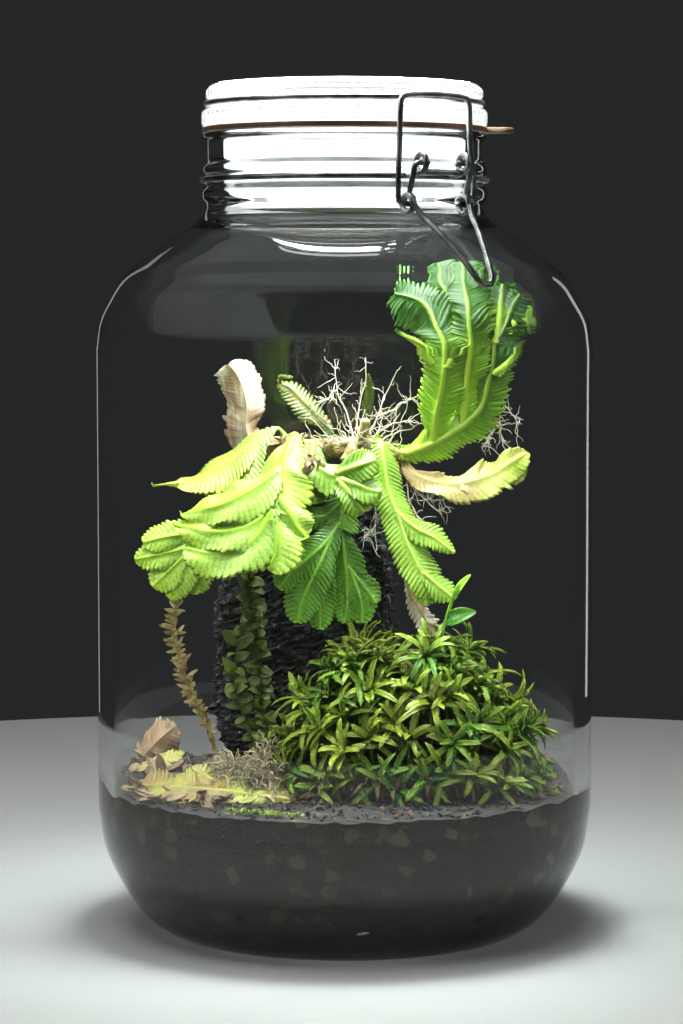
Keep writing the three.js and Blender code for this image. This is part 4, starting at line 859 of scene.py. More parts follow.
# The finish and slot of each frond, and where its blades differ from the usual.
STYLE = {
    "front_left": (pale_frond, "pale_frond", {"age": (0.95, 0.3), "puff": 0.2, "wave": 1.4, "cut": 0.1,
                                              "wide": 1.38, "rib_r": 2.0, "lean": 0.32, "arch": 0.3}),
    "left_narrow": (narrow_frond, "pale_frond", {"age": (1.0, 0.15), "puff": 0.36, "wave": 1.1, "cut": 0.12,
                                                 "wide": 1.25}),
    "left_low": (pale_frond, "green_frond", {"age": (0.9, 0.1), "cut": 0.16, "wave": 0.6, "wide": 1.4,
                                             "puff": 0.26}),
    "back_left": (olive_frond, "olive_frond", {"age": (1.0, 0.2), "cut": 0.34, "puff": 0.35, "wide": 1.1}),
    "dead_stub": (dead_frond, "dead_frond", {"age": (1.0, -0.2), "cut": 0.05, "arch": 0.75, "ragged": 0.05,
                                             "wave": 0.4, "puff": 0.1, "rib_r": 0.5, "wide": 1.35}),
    "young": (olive_frond, "olive_frond", {"age": (0.8, 0.3), "cut": 0.35, "leaflet": 1.4, "rib_r": 0.5}),
    "centre": (green_frond, "green_frond", {"age": (0.9, 0.3), "puff": 0.32, "wave": 1.1, "wide": 1.4,
                                            "rib_r": 1.4, "cut": 0.1}),
    "low_centre": (deep_frond, "green_frond", {"age": (1.0, 0.3), "puff": 0.32, "wave": 0.9, "wide": 1.15,
                                               "cut": 0.15}),
    "right_hanging": (bright_frond, "green_frond", {"age": (0.7, 0.3), "cut": 0.24, "puff": 0.34,
                                                    "wide": 1.12}),
    # The fan's age runs backwards and past full, so it darkens to nearly black towards its top: painted shade
    # under the jar's shoulder.
    "right_fan": (fan_frond, "pale_frond", {"age": (-0.35, 1.7), "rib_r": 1.6, "puff": 0.24, "cut": 0.26,
                                            "wide": 1.35, "wave": 1.5, "ragged": 0.12, "arch": 0.34,
                                            "leaflet": 1.6, "rib_fade": 0.85}),
    "blush": (blush_frond, "blush_frond", {"age": (1.3, -0.15), "cut": 0.07, "ragged": 0.1, "wave": 1.6,
                                           "rib_r": 0.9, "puff": 0.12, "wide": 1.05}),
    "dead_hanging": (dead_frond, "dead_frond", {"age": (1.0, 0.1), "cut": 0.35, "ragged": 0.3, "wave": 0.8,
                                                "arch": 0.4}),
}
for number, (name, (face, ribs)) in enumerate(FRONDS.items()):
    finish, slot, shape = STYLE[name]
    grow_frond("fern_" + name, "frond_" + name, face, ribs, finish, slot, 20 * number, **shape)

# %% [markdown]
# Creeping stem and aerial roots
#
# The fern creeps over the top of the post on a stem as thick as a finger tip, covered with papery
# scales and old stubs. From it, thin pale roots reach into the damp air. Each root tapers, wanders a
# little and sends out side roots, which a straight tube would not show.

# %% A strap leaf, for scales, rosettes and scraps
def add_strap(bundle, base, out, lift, length, width, curl, masks, channel=0.25, stations=7, thick=0.3):
    """A narrow leaf: it leaves its base, arches by `curl` and ends in a point, channelled along."""
    out, lift = unit(np.asarray(out, float)), unit(np.asarray(lift, float))
    across = unit(np.cross(out, lift))
    t = np.linspace(0, 1, stations)
    angle = curl * t**1.2
    step = length / (stations - 1)
    path = np.cumsum(np.column_stack([np.cos(angle), np.sin(angle)]) * step, axis=0) - [step, 0]
    middle = np.asarray(base, float) + path[:, :1] * out + path[:, 1:] * lift
    up = -np.sin(angle)[:, None] * out + np.cos(angle)[:, None] * lift
    half = (width / 2 * np.sin(math.pi * np.clip(0.14 + 0.86 * t, 0, 1)) ** 0.5)[:, None] + 0.08
    section = [middle + share * half * across + share**2 * channel * half * up
               for share in (-1, -0.5, 0, 0.5, 1)]
    mask = np.ones((stations, 6, 3)) * np.asarray(masks, float)
    mask[:, 2, 0] = 0.7
    mask[:, :, 1] = np.clip(mask[:, :, 1] + 0.35 * (0.5 - t[:, None]), 0, 1)
    bundle.add_rings(np.stack([*section, middle - thick * up], axis=1), mask)


# %% Scaly stem
bark, tree, place = start_finish("scaly stem")
flakes, stain = cells(tree, place, 420.0)["Distance"], noise(tree, place, 160.0, 4.0)
stem_base = mix_colours(tree, span(tree, stain, 0.35, 0.65), (0.06, 0.035, 0.012), (0.24, 0.2, 0.05))
end_finish(tree, mix_colours(tree, span(tree, flakes, 0.0, 0.5), stem_base, (0.34, 0.27, 0.1)),
           span(tree, stain, 0.3, 0.7, 0.55, 0.8), relief(tree, flakes, 0.6, 0.0006))

stem_mesh = Bundle()
rng = np.random.default_rng(3)
MAIN_STEM = [[-27, -3, 204], [-16, 0, 202], [-4, 1, 200.5], [8, -1, 202.5], [18, -3, 200], [27, -2, 197]]
for keys, thickness in [(MAIN_STEM, 3.5), ([[6, -1, 203], [8, -6, 209], [9, -8, 214]], 2.1),
                        ([[4, -2, 204], [3, -8, 201], [0, -11, 196]], 2.5)]:
    line = line_through(keys, 0.9)
    lumps = thickness * (1 + 0.09 * np.sin(np.arange(len(line)) * 0.9)
                         + 0.05 * rng.standard_normal(len(line)))
    lumps[[0, -1]] *= 0.55
    add_tube(stem_mesh, line, lumps, 18, to_metres=from_view)
main_route = line_through(MAIN_STEM, 0.5)
for _ in range(240):
    k = rng.integers(2, len(main_route) - 3)
    tangent = unit(main_route[k + 1] - main_route[k - 1])
    out = unit(np.cross(tangent, rng.standard_normal(3)))
    if out[2] < -0.5:
        continue
    add_strap(stem_mesh, main_route[k] + out * 3.9, tangent * rng.choice([-1, 1]) + 0.5 * out, out,
              2 + 2.2 * rng.random(), 1.2, 0.4, PLAIN, stations=4, thick=0.15)
make_piece("fern_stem", stem_mesh, bark, "jar_body", ["rhizome"])

# %% Aerial roots with side roots
ROOTS = {
    "roots_top": [
        [[4, -1, 204], [2, 1, 214], [-3, 3, 226], [-4, 4, 240]], [[-3, 3, 226], [-9, 3, 220]],
        [[6, -1, 205], [5, 3, 216], [9, 4, 230], [8, 5, 242]],
        [[8, -1, 205], [14, 2, 215], [19, 3, 228], [22, 2, 235]],
        [[14, 2, 215], [22, 2, 219], [30, 1, 224]], [[11, -1, 205], [20, 0, 212], [31, -1, 212]],
    ],
    "roots_right": [
        [[59, -13, 224], [64, -12, 221], [69, -12, 217], [72, -12, 211]],
        [[64, -12, 221], [64, -11, 213], [66, -11, 204]], [[64, -11, 213], [60, -11, 207], [57, -12, 202]],
    ],
    "roots_low": [
        [[20, -2, 200], [26, -6, 189], [32, -10, 182], [41, -14, 174]],
        [[32, -10, 182], [37, -11, 180], [44, -13, 182]], [[26, -6, 189], [28, -10, 178], [35, -15, 168]],
        [[12, -1, 201], [13, -8, 186], [13, -13, 170], [14, -16, 160]], [[13, -13, 170], [7, -15, 164]],
    ],
}
# Random angles are drawn up to a little under a whole turn.
NEAR_TURN = 6.28

pale_root, tree, place = start_finish("pale root")
patches, hairs = noise(tree, place, 200.0, 3.0), noise(tree, place, 2600.0)
end_finish(tree, mix_colours(tree, span(tree, patches, 0.5, 0.7), (0.8, 0.76, 0.64), (0.55, 0.42, 0.24)),
           span(tree, hairs, 0.3, 0.7, 0.5, 0.7), relief(tree, hairs, 0.3, 0.0002))


def add_root(bundle, keys, spacing, amount, radii, sides):
    """A tapering root that wanders sideways, by nothing at its base."""
    line = line_through(keys, spacing)
    t = np.linspace(0, 1, len(line))[:, None]
    first, second = rng.random((2, 3)) * NEAR_TURN
    drift = np.sin(9 * t + first) - np.sin(first) + 0.5 * (np.sin(21 * t + second) - np.sin(second))
    line = line + amount * drift * np.clip(4 * t, 0, 1) * 0.5
    add_tube(bundle, line, np.linspace(*radii, len(line)), sides, to_metres=from_view)
    return line


rng = np.random.default_rng(11)
for name, paths in ROOTS.items():
    threads = Bundle()
    for path in paths:
        line = add_root(threads, path, 0.8, 0.7, (0.36, 0.17), 7)
        for _ in range(18):
            k = rng.integers(3, max(len(line) - 1, 4))
            heading = unit(line[min(k + 1, len(line) - 1)] - line[k - 1])
            turn_to = unit(heading * 0.6 + rng.standard_normal(3) * [0.9, 0.5, 0.9])
            reach = 2 + 9 * rng.random() ** 1.4
            bend = line[k] + turn_to * reach * 0.5 + rng.standard_normal(3) * 0.8
            add_root(threads, [line[k], bend, line[k] + turn_to * reach], 0.9, 0.5, (0.19, 0.08), 5)
    if name == "roots_top":
        for _ in range(34):
            start = np.array([rng.uniform(-10, 20), rng.uniform(-8, 2), 204])
            out = np.array([rng.standard_normal() * 0.9, -0.35 + 0.5 * rng.standard_normal(),
                            0.9 * rng.random()])
            reach = 8 + 16 * rng.random()
            mid = start + unit(out) * reach * 0.5 + rng.standard_normal(3) * 1.5
            end = mid + unit(out + 0.7 * rng.standard_normal(3)) * reach * 0.5
            add_root(threads, [start, mid, end], 1.0, 0.8, (0.24, 0.1), 5)
    make_piece("aerial_" + name, threads, pale_root, "jar_body", [name])

# %% [markdown]
# Soil
#
# The bed is damp potting mix: fine dark particles with bits of bark, husk and fibre. It fills the
# heel of the jar and shows through the glass, so its sides matter as much as its top. Damp soil sticks
# to glass: where it touches, one sees it right at the wall, and between lie shallow air pockets. So
# the sides reach 0.15 mm into the glass, apart from the pockets. The bed is one closed body with a
# rough top, and nearly three thousand loose crumbs of every size lie on it and against the glass.

# %% Damp soil finish
damp_soil, tree, place = start_finish("damp soil")
grains, patch, dust = cells(tree, place, 190.0), noise(tree, place, 42.0, 6.0), noise(tree, place, 800.0, 4.0)
bark_mask, _, purple_mask = mesh_masks(tree)
peat = mix_colours(tree, span(tree, patch, 0.35, 0.7), (0.003, 0.0024, 0.002), (0.016, 0.011, 0.008))
bits = mix_colours(tree, span(tree, split(tree, grains["Color"])[0], 0.86, 0.97), peat, (0.05, 0.033, 0.022))
barky = mix_colours(tree, bark_mask, bits, (0.075, 0.04, 0.022))
bumps = calc(tree, "ADD", calc(tree, "MULTIPLY", grains["Distance"], 0.5), dust)
end_finish(tree, mix_colours(tree, purple_mask, barky, (0.09, 0.045, 0.047)),
           span(tree, patch, 0.3, 0.7, 0.62, 0.95), relief(tree, bumps, 0.6, 0.001))

# %% Shape the bed
SOIL_Z, SOIL_ROUND, CONTACT = 61, 150, 0.15


def ground_height(x, y):
    """The soil's height at a place in the view's frame, with the heap and the bank."""
    crumbs = -1.2 * np.abs(np.sin(x * 0.23 + 1) * np.cos(y * 0.19))
    heap = 5 * step_up(x + y, 88, 125)
    bank = 5 * step_up(-x, 66, 84) * step_up(y, -40, -10)
    post = np.hypot((x + 14) / 51, (y - 25) / 27)
    bush = np.hypot((x - 27) / 61, (y + 30) / 34)
    return SOIL_Z + np.where(np.minimum(post, bush) < 1, -0.4, crumbs + heap + bank)


def lumpy(x, y, size, seed):
    """Cheap smooth noise made of a few crossed waves."""
    rng = np.random.default_rng(seed)
    total = 0
    for _ in range(7):
        angle, phase = rng.random() * math.pi, rng.random() * NEAR_TURN
        rate = (0.7 + 0.8 * rng.random()) * 2 * math.pi / size
        total = total + np.sin(rate * (x * math.cos(angle) + y * math.sin(angle)) + phase)
    return total / 4


def lumpy_3d(points, size, seed):
    """The same in three dimensions, for a side that goes round the jar."""
    rng = np.random.default_rng(seed)
    total = 0
    for _ in range(9):
        way = unit(rng.standard_normal(3)) * (0.7 + 0.8 * rng.random()) * 2 * math.pi / size
        total = total + np.sin(points @ way + rng.random() * NEAR_TURN)
    return total / 4


side_keys = np.array(INNER_HEEL[::-1]) + [CONTACT, -0.1]
bed_side = np.vstack([[[POLE, 9.4]], [[30, 9.4]], bend_through(side_keys, 40)])
top_radius = np.linspace(INSIDE_R + CONTACT, 0.5, 62)
bed = Bundle()
lathe(bed, np.vstack([bed_side, np.column_stack([top_radius, np.full(62, SOIL_Z)])]), SOIL_ROUND)
place = bed.points[0] / MM
vx, vy = to_view(place[:, 0], place[:, 1])
on_top = place[:, 2] > 60.5
rough = 0.5 * lumpy(vx, vy, 9, 1) + 0.35 * lumpy(vx, vy, 3.5, 2)
place[:, 2] = np.where(on_top, ground_height(vx, vy) + rough - 0.3, place[:, 2])
pocket = 0.8 * lumpy_3d(place, 17, 3) + 0.5 * lumpy_3d(place, 6, 4) - 0.75
pocket -= 0.5 * step_up(place[:, 2], 22, 40)
depth = np.where(on_top | (np.hypot(vx, vy) < 60), 0, np.clip(1.6 * pocket, 0, 0.9))
place[:, :2] *= 1 - (depth / np.maximum(np.hypot(vx, vy), 1))[:, None]
bed.points[0] = place * MM

# %% Scatter the crumbs
# A crumb has a point below, two rings of five corners turned against each other, and a point above.
FIFTHS = np.arange(5) * 1.2566
CRUMB = np.array([[0, 0, -1], *[[math.cos(a), math.sin(a), -0.35] for a in FIFTHS],
                  *[[math.cos(a + 0.6), math.sin(a + 0.6), 0.4] for a in FIFTHS], [0, 0, 1]])
NEXT = [(k, (k + 1) % 5) for k in range(5)]
CRUMB_FACES = [*[[0, 1 + n, 1 + k] for k, n in NEXT], *[[11, 6 + k, 6 + n] for k, n in NEXT],
               *[[1 + k, 1 + n, 6 + k] for k, n in NEXT], *[[1 + n, 6 + n, 6 + k] for k, n in NEXT]]


def add_crumb(bundle, centre, size, flat, rng, masks):
    """An angular lump of twenty faces. Flat ones lie down, the others are turned at random."""
    shape = CRUMB * (0.72 + 0.5 * rng.random((12, 1))) * [1, 0.55 + 0.45 * rng.random(), flat]
    if flat > 0.5:
        turn = np.linalg.qr(rng.standard_normal((3, 3)))[0]
    else:
        a = rng.random() * NEAR_TURN
        turn = np.array([[math.cos(a), -math.sin(a), 0], [math.sin(a), math.cos(a), 0],
                         [0.25 * rng.standard_normal(), 0.25 * rng.standard_normal(), 1]])
    bundle.add(from_view(np.asarray(centre) + size * shape @ turn.T), CRUMB_FACES, masks)


rng = np.random.default_rng(5)
for _ in range(1900):
    r, a = 95.0 * math.sqrt(rng.random()), rng.random() * NEAR_TURN
    x, y = r * math.cos(a), r * math.sin(a)
    size = 0.5 + 1.5 * rng.random() ** 3
    z = float(ground_height(x, y)) + 0.25 * size
    to_the_right = float(step_up(x, 55, 75))
    masks = (float(rng.random() > 0.72), 0.5, to_the_right * float(rng.random() > 0.45))
    add_crumb(bed, [x, y, z], size * (1 + 0.5 * to_the_right), rng.choice([0.3, 0.8]), rng, masks)
for _ in range(950):
    a, z = rng.random() * NEAR_TURN, 13 + 47 * rng.random()
    r = float(np.interp(z, bed_side[:, 1], bed_side[:, 0])) - CONTACT
    size = 0.5 + 1.3 * rng.random() ** 2
    masks = (float(rng.random() > 0.8), 0.5, 0.4 * float(rng.random() > 0.8))
    add_crumb(bed, [(r - size) * math.cos(a), (r - size) * math.sin(a), z], size * 0.85, 0.8, rng, masks)
make_piece("soil_bed", bed, damp_soil, "jar_body", ["soil"], flat=True)

# %% [markdown]
# The fibre post
#
# Behind the fern stands a rough post of black tree-fern fibre. It is almost black, but wet bits
# glitter on it. The body carries ridges and pits in its mesh, and hundreds of bent black fibres
# stand off its surface. The glitter is painted into the colour as small bright flecks, which are
# painted highlights.

# %% Build the post
fibre, tree, place = start_finish("black fibre")
strands = noise(tree, stretch(tree, place, 0.3), 700.0, 5.0)
glint_cells = cells(tree, place, 330.0)
# Painted highlights: small bright flecks of colour stand for glints of wet fibre.
painted_glint = calc(tree, "MULTIPLY", span(tree, glint_cells["Distance"], 0.1, 0.16, 1.0, 0.0),
                span(tree, split(tree, glint_cells["Color"])[1], 0.72, 0.75))
fibre_base = mix_colours(tree, span(tree, strands, 0.35, 0.7), (0.0015, 0.0015, 0.0018), (0.012, 0.011, 0.01))
end_finish(tree, mix_colours(tree, painted_glint, fibre_base, (0.35, 0.35, 0.34)),
           span(tree, strands, 0.3, 0.7, 0.4, 0.75), relief(tree, strands, 1.0, 0.0012))

POST_FOOT, POST_TOP = 61.3, 193
POST_ROUND, POST_RINGS = 110, 96
# The first values of the solid's own random row, so that ridges and hollows fall alike.
phases, state = [], 7
for _ in range(3):
    state = (state * 1664525 + 1013904223) % 4294967296
    phases.append(state / 4294967296 * NEAR_TURN)


def post_point(turn, t, out=1.0):
    """The post's surface at a turn and a share t of its height, scaled out from its middle."""
    square = 1 / np.maximum(np.abs(np.cos(turn)), np.abs(np.sin(turn))) ** 0.75
    rough = (1 + 0.045 * np.sin(3 * turn + phases[0] + 5 * t) + 0.04 * np.sin(5 * turn + phases[1] - 8 * t)
             + 0.03 * np.sin(17 * t + 2 * turn + phases[2]))
    scale = square * rough * (1 - 0.2 * t * t) * 0.92 * out
    return np.stack([-14 + np.cos(turn) * scale * 43 - 4 * t, 25 + np.sin(turn) * scale * 19,
                     POST_FOOT + t * (POST_TOP - POST_FOOT)], axis=-1)


turn, t = np.meshgrid(np.linspace(0, 2 * math.pi, POST_ROUND, endpoint=False), np.linspace(0, 1, POST_RINGS))
grain = 0.03 * lumpy(turn * 40, t * 130, 16, 31) * np.sin(turn + 1) ** 2
grain += 0.022 * lumpy(turn * 40, t * 130, 7, 32)
grain += 0.03 * np.random.default_rng(8).standard_normal(turn.shape)
close = np.sqrt(1 - ((t - 0.93) / 0.07).clip(0, 1) ** 2)
post_mesh = Bundle()
post_mesh.add_rings(post_point(turn, t, (0.96 + grain) * (0.25 + 0.75 * close)))
rng = np.random.default_rng(9)
for _ in range(620):
    a, height = rng.random() * NEAR_TURN, 0.02 + 0.95 * rng.random()
    foot_point = post_point(a, height, 0.93)
    outward = np.array([math.cos(a) * 0.6, math.sin(a), 0]) + 0.7 * rng.standard_normal(3)
    reach = 3 + 6 * rng.random()
    mid = foot_point + unit(outward) * 0.8 + rng.standard_normal(3) * reach * 0.25
    end = mid + rng.standard_normal(3) * reach * [0.3, 0.15, 0.5]
    mid[2], end[2] = np.clip([mid[2], end[2]], 62, 200)
    add_thread(post_mesh, [foot_point, mid, end], 2.0, 0.16 + 0.16 * rng.random(), 4)
for _ in range(900):
    at = post_point(rng.random() * NEAR_TURN, rng.random() * 0.97, 0.95)
    add_crumb(post_mesh, at, 0.8 + 2.2 * rng.random() ** 2, 0.8, rng, PLAIN)
make_piece("black_fibre_post", post_mesh, fibre, "jar_body", ["fibre_post"], flat=True)

# %% [markdown]
# The cushion of rosettes
#
# At the front right grows a dense cushion, each stem of which ends in a rosette of narrow strap
# leaves that arch outward. Old leaves lower down are brown and hang. The stems follow a sunflower
# spiral, which fills a mound evenly without showing rows, and each leaf gets its own length, width
# and arch.

# %% Grow the cushion
BUSH_X, BUSH_Y, BUSH_HALF_X, BUSH_HALF_Y = 27, -30, 51, 24
BUSH_HEIGHT, MAT_HEIGHT = 56, 17
STEMS, LOW_STEMS = 72, 34
GOLDEN = math.pi * (3 - math.sqrt(5))


def bush_height(x, y):
    dx, dy = (x - BUSH_X) / BUSH_HALF_X, (y - BUSH_Y) / BUSH_HALF_Y
    dome = math.sqrt(max(0, 1 - dx * dx - dy * dy))
    return BUSH_HEIGHT * dome**0.8 * (1 + 0.1 * math.sin(x * 0.16 + 1) + 0.07 * math.cos(y * 0.2 + x * 0.07))


def add_rosette(bundle, tip, axis, leaves, leaf_length, rng, age):
    """Leaves in a rising spiral: the lowest lie out flat and old, the highest stand up and are young."""
    axis = unit(np.asarray(axis, float))
    first = unit(np.cross(axis, [0.3, 0.8, 0.52]))
    second = np.cross(axis, first)
    spin = rng.random() * NEAR_TURN
    for k in range(leaves):
        u = k / (leaves - 1)
        a = spin + k * 2.4
        out = math.cos(a) * first + math.sin(a) * second
        heading = unit(out * (1.15 - 0.95 * u) + axis * (0.25 + 0.95 * u) + 0.22 * rng.standard_normal(3))
        away = unit(axis - heading * (axis @ heading))
        length = leaf_length * (1.1 - 0.4 * u) * (0.75 + 0.5 * rng.random())
        curl = -(0.8 + 1.5 * rng.random()) * (1 - 0.4 * u)
        masks = (0.12, np.clip(age + 0.35 * (0.5 - u) + 0.25 * rng.standard_normal(), 0, 1), 0.0)
        add_strap(bundle, tip + axis * (u * 3.4 - 2) + out * 0.5, heading, away, length,
                  2.3 + 1.1 * rng.random(), curl, masks, channel=0.4)


rng = np.random.default_rng(41)
cushion, dead_leaves = Bundle(), Bundle()
for i in range(STEMS + LOW_STEMS):
    is_low = i >= STEMS
    spread = (0.96 + 0.1 * rng.random()) if is_low else math.sqrt((i + 0.6) / STEMS) * 0.98
    a = i * GOLDEN + 0.4
    dx, dy = math.cos(a) * spread * BUSH_HALF_X, math.sin(a) * spread * BUSH_HALF_Y
    x, y = BUSH_X + dx, BUSH_Y + dy
    rise = 4 + 8 * rng.random() if is_low else max(13, bush_height(x, y) - 2 + 4.5 * rng.standard_normal())
    foot_at = np.array([BUSH_X + 0.75 * dx, BUSH_Y + 0.75 * dy, SOIL_Z + 5])
    tip = np.array([x, y, SOIL_Z + rise])
    middle = (foot_at + tip) / 2 + [0.12 * dx, 0.12 * dy, 2]
    stem_line = line_through([foot_at, middle, tip], 2.2)
    add_tube(cushion, stem_line, 0.85, 6, (0.0, 0.9, 0.4), from_view)
    axis = np.array([dx * 0.9, dy * 1.5 - 6, 34]) + 11 * rng.standard_normal(3)
    room = INSIDE_R - 2.5 - math.hypot(x, y)
    leaf_length = min(14 + 5 * rng.random(), max(room, 5))
    age = 0.95 if is_low else rng.choice([1.0, 0.8, 0.5, 0.2])
    add_rosette(cushion, tip, axis, 9 if is_low else 14, leaf_length, rng, age)
    for point, above in zip(stem_line[1:-1], stem_line[2:]):
        for _ in range(2):
            heading = unit(above - point) * 0.4 + rng.standard_normal(3) * [1, 1, 0.4]
            brown = rng.random() > 0.3
            add_strap(dead_leaves if brown else cushion, point, heading, [0, 0, 1], 5 + 5 * rng.random(), 1.8,
                      -0.9 + 0.8 * rng.random(), (0.1, 0.9, 0.5), stations=3 if brown else 5)
make_piece("rosette_cushion", cushion, strap_leaf, "jar_body", ["bush"])

# %% Brown mat below the cushion
MAT_PROFILE = [[0.02, 0.0], [1, 0], [0.99, 0.25], [0.96, 0.5], [0.88, 0.7], [0.74, 0.86], [0.56, 0.95],
               [0.36, 1], [0.18, 1.03], [0.02, 1.04]]
out, up = flat_line(MAT_PROFILE, 0.06).T[..., None]
turn = np.linspace(0, 2 * math.pi, 90, endpoint=False)
x, y = BUSH_X + out * np.cos(turn) * BUSH_HALF_X * 0.88, BUSH_Y + out * np.sin(turn) * BUSH_HALF_Y * 0.88
lumps = 1 + 0.14 * np.sin(x * 0.16 + 1) + 0.1 * np.cos(y * 0.2 + x * 0.07)
z = SOIL_Z + up * MAT_HEIGHT * lumps + 0.5 * lumpy(x, y, 5, 6)
dead_leaves.add_rings(np.stack([x, y, z], axis=-1), (0.0, 1.0, 0.9))
for _ in range(760):
    a, r = rng.random() * NEAR_TURN, math.sqrt(rng.random())
    x, y = BUSH_X + r * math.cos(a) * BUSH_HALF_X, BUSH_Y + r * math.sin(a) * BUSH_HALF_Y
    z = SOIL_Z + MAT_HEIGHT * math.sqrt(max(0, 1 - 0.8 * r * r)) + 3 * rng.random()
    heading = [math.cos(a), math.sin(a), rng.standard_normal() * 0.5]
    add_strap(dead_leaves, [x, y, z - 2], heading + rng.standard_normal(3) * 0.6, [0, 0, 1],
              5 + 6 * rng.random(), 2, -0.3 - rng.random(), (0.1, rng.random(), 0.3), stations=3)
make_piece("brown_mat", dead_leaves, brown_strap, "jar_body", [])

# %% [markdown]
# Climbing stem, dried stem and side shoot
#
# A thin climber runs up the post with small round leaves in two rows, which overlap like tiles. To
# its left stands the dead stem of a feathery fern. Out of the cushion rise a glossy oval leaf and a
# bright new shoot.

# %% Leaves with a rounded blade
def add_oval(bundle, base, tip, face, width, masks, stations=12, across=7):
    """An oval leaf from base to tip, cupped, with a raised midrib."""
    base, tip = np.asarray(base, float), np.asarray(tip, float)
    along = unit(tip - base)
    side = unit(np.cross(along, unit(np.asarray(face, float))))
    normal = np.cross(side, along)
    t = np.linspace(0, 1, stations)[:, None]
    u = np.linspace(-1, 1, across)
    half = width / 2 * np.sin(math.pi * np.clip(t, 0.03, 0.985) ** 0.85) ** 0.62
    length = np.linalg.norm(tip - base)
    rise = 0.12 * length * np.sin(math.pi * t) + 0.3 * u**2 * half + 0.2 * np.exp(-(u / 0.16) ** 2)
    top = base + t[..., None] * length * along + (u * half)[..., None] * side + rise[..., None] * normal
    rings = np.concatenate([top, (top[:, 1:-1] - 0.35 * normal)[:, ::-1]], axis=1)
    mask = np.ones(rings.shape) * np.asarray(masks, float)
    mask[:, across // 2, 0] = 0.9
    mask[..., 1] = np.clip(mask[..., 1] + 0.3 * (0.4 - t), 0, 1)
    bundle.add_rings(rings, mask)


# %% The climber
MAIN_CLIMB = [[-40, -3, 148], [-39, -4, 138], [-37, -5, 126], [-36, -5, 112], [-35, -6, 100], [-33, -7, 85],
              [-32, -7, 70], [-32, -7, 56.3]]
SIDE_CLIMB = [[-38, -5, 132], [-44, -7, 120], [-46, -8, 106], [-43, -8, 92], [-37, -8, 78], [-33, -7, 66]]
LEAVES, SIDE_LEAVES = 48, 30
climb, side_climb = line_through(MAIN_CLIMB, 0.6), line_through(SIDE_CLIMB, 0.6)
climber = Bundle()
add_tube(climber, climb, 0.8, 9, (0.3, 0.9, 0.2), from_view)
add_tube(climber, side_climb, 0.6, 8, (0.3, 0.9, 0.2), from_view)
rng = np.random.default_rng(17)
for i in range(-SIDE_LEAVES, LEAVES):  # below zero they grow on the side strand
    way = -1 if i % 2 == 0 else 1
    if i < 0:
        x, y, z = side_climb[int(-i / (SIDE_LEAVES + 1) * len(side_climb))]
    else:
        x, y, z = climb[int((0.02 + 0.72 * i / LEAVES) * len(climb))]
    size = (0.72 + 0.3 * rng.random()) * (1 - 0.2 * abs(i) / LEAVES)
    tip = [x + way * (4 + 3.5 * rng.random()) * size, y - 3 + 2 * rng.standard_normal(),
           z + 1.5 + 3 * rng.standard_normal()]
    add_oval(climber, [x, y - 0.3, z], tip, [way * 0.35 + 0.4 * rng.standard_normal(), -1, 0.5],
             (4.4 + 2 * rng.random()) * size, (0.05, rng.random() ** 0.6, 0.3 * rng.random()))
add_oval(climber, [-40, -3, 146], [-41, -6, 155], [0.1, -1, 0.45], 5, (0.05, 0.1, 0))
for _ in range(26):
    at = climb[int((0.1 + 0.88 * rng.random()) * (len(climb) - 1))]
    end = at + rng.standard_normal(3) * [5, 2.5, 4]
    end[2] = max(end[2], 62)
    add_thread(climber, [at, (at + end) / 2 + rng.standard_normal(3), end], 1.0, 0.16, 5, (0.2, 0.9, 0.3))
make_piece("climbing_stem", climber, climber_leaf, "jar_body", ["climber"])

# %% The dried feathery stem
DRIED_STEM = [[-67, -22, 143, 0.8], [-70, -22, 135, 3.6], [-70, -22, 126, 4.6], [-68, -22, 116, 4.6],
              [-65, -21, 106, 4.6], [-61, -20, 96, 4.4], [-57, -19, 88, 3], [-54, -18, 78, 1],
              [-52, -18, 68, 1], [-52, -18, 56.3, 1]]
dried_leaf = leaf_finish("dried feather", (0.34, 0.25, 0.08), (0.66, 0.54, 0.27), (0.34, 0.23, 0.08),
                         blotch=(0.26, 0.15, 0.05), amount=0.6, gloss=0.6, scale=150.0, bump=0.5, soft=0.04)
feather = Bundle()
*place, width = line_through(DRIED_STEM, 0.5).T
dried = np.column_stack(place)
add_tube(feather, dried, np.linspace(0.35, 0.7, len(dried)), 8, (0.8, 0.9, 0.2), from_view)
face = unit(np.array([-0.4, -1, 0.1]))
for k in range(6, int(len(dried) * 0.78), 2):
    heading = unit(dried[k + 1] - dried[k - 1])
    across = unit(np.cross(heading, face))
    for way in (-1, 1):
        reach = width[k] * (0.75 + 0.7 * rng.random())
        out = way * across - (0.2 + 0.7 * rng.random()) * heading + 0.45 * rng.standard_normal(3)
        add_strap(feather, dried[k], out, face, reach, 1.4, 0.5 + 0.8 * rng.standard_normal(),
                  (0.0, rng.random(), 0.2), channel=0.4, stations=6, thick=0.25)
make_piece("dried_feather_stem", feather, dried_leaf, "jar_body", ["dried_fern"])

# %% Dead scales among the frond bases
withered = Bundle()
for _ in range(26):
    spot = np.array([-14, -19, 193]) + rng.standard_normal(3) * [4, 2.5, 5]
    add_strap(withered, spot, rng.standard_normal(3) * [0.5, 0.3, 0.4] + [0.1, -0.3, -1], [0.3, -1, 0.2],
              5 + 6 * rng.random(), 2.4 + 1.4 * rng.random(), 0.8 * rng.standard_normal(),
              (0.1, rng.random(), 0.3), channel=0.6)
make_piece("withered_scales", withered, dead_frond, "jar_body", [])

